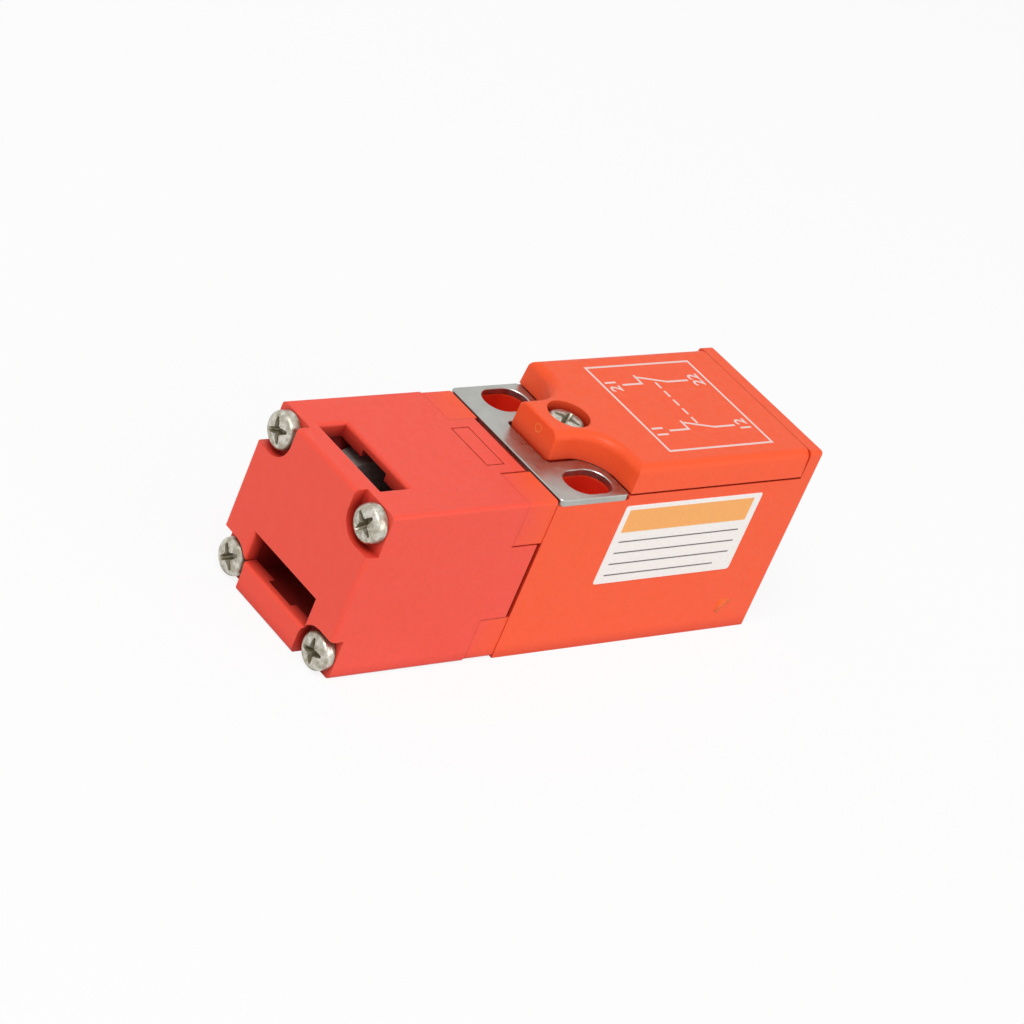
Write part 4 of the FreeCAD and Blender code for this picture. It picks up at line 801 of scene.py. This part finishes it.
gate_look = plastic("gate_orange", GATE_ORANGE, 0.36, 0.2)
ring_look = printed("gate_ring", RING_ORANGE, 0.4)
torn_stub = ((1.0, 0.0), (0.92, 0.026), (0.80, 0.040), (0.66, 0.016), (0.38, 0.008), (0.22, 0.030),
             (0.05, 0.034))
thin_ring = ((1.0, 0.0), (0.93, 0.012), (0.79, 0.012), (0.72, 0.0))
side_spot = plane_at((body_high.x - GATE_SIDE_SETBACK, body_low.y, GATE_SIDE_HEIGHT), *SIDE_WAYS)
gate_mark("gate_mark_side", side_spot, GATE_SIDE_RADIUS, torn_stub, 0.26, gate_look, "housing")
boss_spot = plane_at((cover_low.x, GATE_BOSS_ACROSS, cover_high.z - GATE_BOSS_DROP), *BOSS_WAYS)
gate_mark("gate_mark_boss", boss_spot, GATE_BOSS_RADIUS, thin_ring, 0.05, ring_look, "lid")


# ---- stage, lights and camera ---------------------------------------------------------------------
def seen_directly(tree, share):
    """share for camera, glossy and transmission rays, and 0 for the light itself."""
    path = tree.nodes.new("ShaderNodeLightPath")
    total = path.outputs["Is Camera Ray"]
    for ray in ("Is Glossy Ray", "Is Transmission Ray"):
        add = tree.nodes.new("ShaderNodeMath")
        add.operation = "MAXIMUM"
        tree.links.new(total, add.inputs[0])
        tree.links.new(path.outputs[ray], add.inputs[1])
        total = add.outputs["Value"]
    scale = tree.nodes.new("ShaderNodeMath")
    scale.operation = "MULTIPLY"
    tree.links.new(total, scale.inputs[0])
    scale.inputs[1].default_value = share
    return scale.outputs["Value"]


def stage_floor():
    """A pale ground that keeps the object's shadow."""
    low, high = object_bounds()
    reach = 6.0
    corners = [(-reach, -reach, 0), (reach, -reach, 0), (reach, reach, 0), (-reach, reach, 0)]
    ground = mesh_of("floor", corners, [(0, 1, 2, 3)])
    floor = bpy.data.objects.new("floor", ground)
    floor.location.z = low.z - 0.05 * MM
    bpy.context.scene.collection.objects.link(floor)
    look = bpy.data.materials.new("floor")
    look.use_nodes = True
    tree = look.node_tree
    tree.nodes.clear()
    output = tree.nodes.new("ShaderNodeOutputMaterial")
    mix = tree.nodes.new("ShaderNodeMixShader")
    diffuse = tree.nodes.new("ShaderNodeBsdfDiffuse")
    diffuse.inputs["Color"].default_value = (0.90, 0.90, 0.90, 1)
    glow = tree.nodes.new("ShaderNodeEmission")
    glow.inputs["Strength"].default_value = 1.0
    seen = seen_directly(tree, FLOOR_SEEN)
    tree.links.new(seen, mix.inputs["Fac"])
    tree.links.new(diffuse.outputs["BSDF"], mix.inputs[1])
    tree.links.new(glow.outputs["Emission"], mix.inputs[2])
    tree.links.new(mix.outputs["Shader"], output.inputs["Surface"])
    floor.data.materials.append(look)


def light_world():
    """An even white surround, seen at full white and lighting the object more softly."""
    world = bpy.data.worlds.new("studio")
    bpy.context.scene.world = world
    world.use_nodes = True
    tree = world.node_tree
    tree.nodes.clear()
    output = tree.nodes.new("ShaderNodeOutputWorld")
    mix = tree.nodes.new("ShaderNodeMixShader")
    ambient = tree.nodes.new("ShaderNodeBackground")
    ambient.inputs["Color"].default_value = (1, 1, 1, 1)
    ambient.inputs["Strength"].default_value = AMBIENT
    white = tree.nodes.new("ShaderNodeBackground")
    white.inputs["Color"].default_value = (1, 1, 1, 1)
    white.inputs["Strength"].default_value = 1.0
    tree.links.new(seen_directly(tree, 1.0), mix.inputs["Fac"])
    tree.links.new(ambient.outputs["Background"], mix.inputs[1])
    tree.links.new(white.outputs["Background"], mix.inputs[2])
    tree.links.new(mix.outputs["Shader"], output.inputs["Surface"])


def softbox(name, place, aim, size, power):
    lamp = bpy.data.lights.new(name, "AREA")
    lamp.shape = "DISK"
    lamp.size = size
    lamp.energy = power
    holder = bpy.data.objects.new(name, lamp)
    holder.location = place
    holder.rotation_euler = (Vector(aim) - Vector(place)).to_track_quat("-Z", "Y").to_euler()
    bpy.context.scene.collection.objects.link(holder)


def set_camera():
    sight = Vector((math.sin(CAMERA_AZIMUTH) * math.cos(CAMERA_ELEVATION),
                    math.cos(CAMERA_AZIMUTH) * math.cos(CAMERA_ELEVATION), -math.sin(CAMERA_ELEVATION)))
    level = sight.cross(Vector((0, 0, 1))).normalized()
    up = level.cross(sight)
    right = level * math.cos(CAMERA_ROLL) + up * math.sin(CAMERA_ROLL)
    top = right.cross(sight)
    camera = bpy.data.cameras.new("camera")
    camera.lens = CAMERA_LENS
    camera.sensor_width = 36.0
    camera.clip_start = 0.01
    camera.clip_end = 50.0
    holder = bpy.data.objects.new("camera", camera)
    turn = Matrix((right, top, -sight)).transposed().to_4x4()
    holder.matrix_world = Matrix.Translation(CAMERA_AIM - sight * CAMERA_DISTANCE) @ turn
    bpy.context.scene.collection.objects.link(holder)
    bpy.context.scene.camera = holder


stage_floor()
light_world()
softbox("key", (-0.48, -0.28, 0.92), LIGHT_AIM, 0.6, 6.2)
softbox("fill", (0.45, -0.9, 0.35), LIGHT_AIM, 0.8, 2.4)
set_camera()
bpy.context.scene.view_settings.view_transform = "Standard"
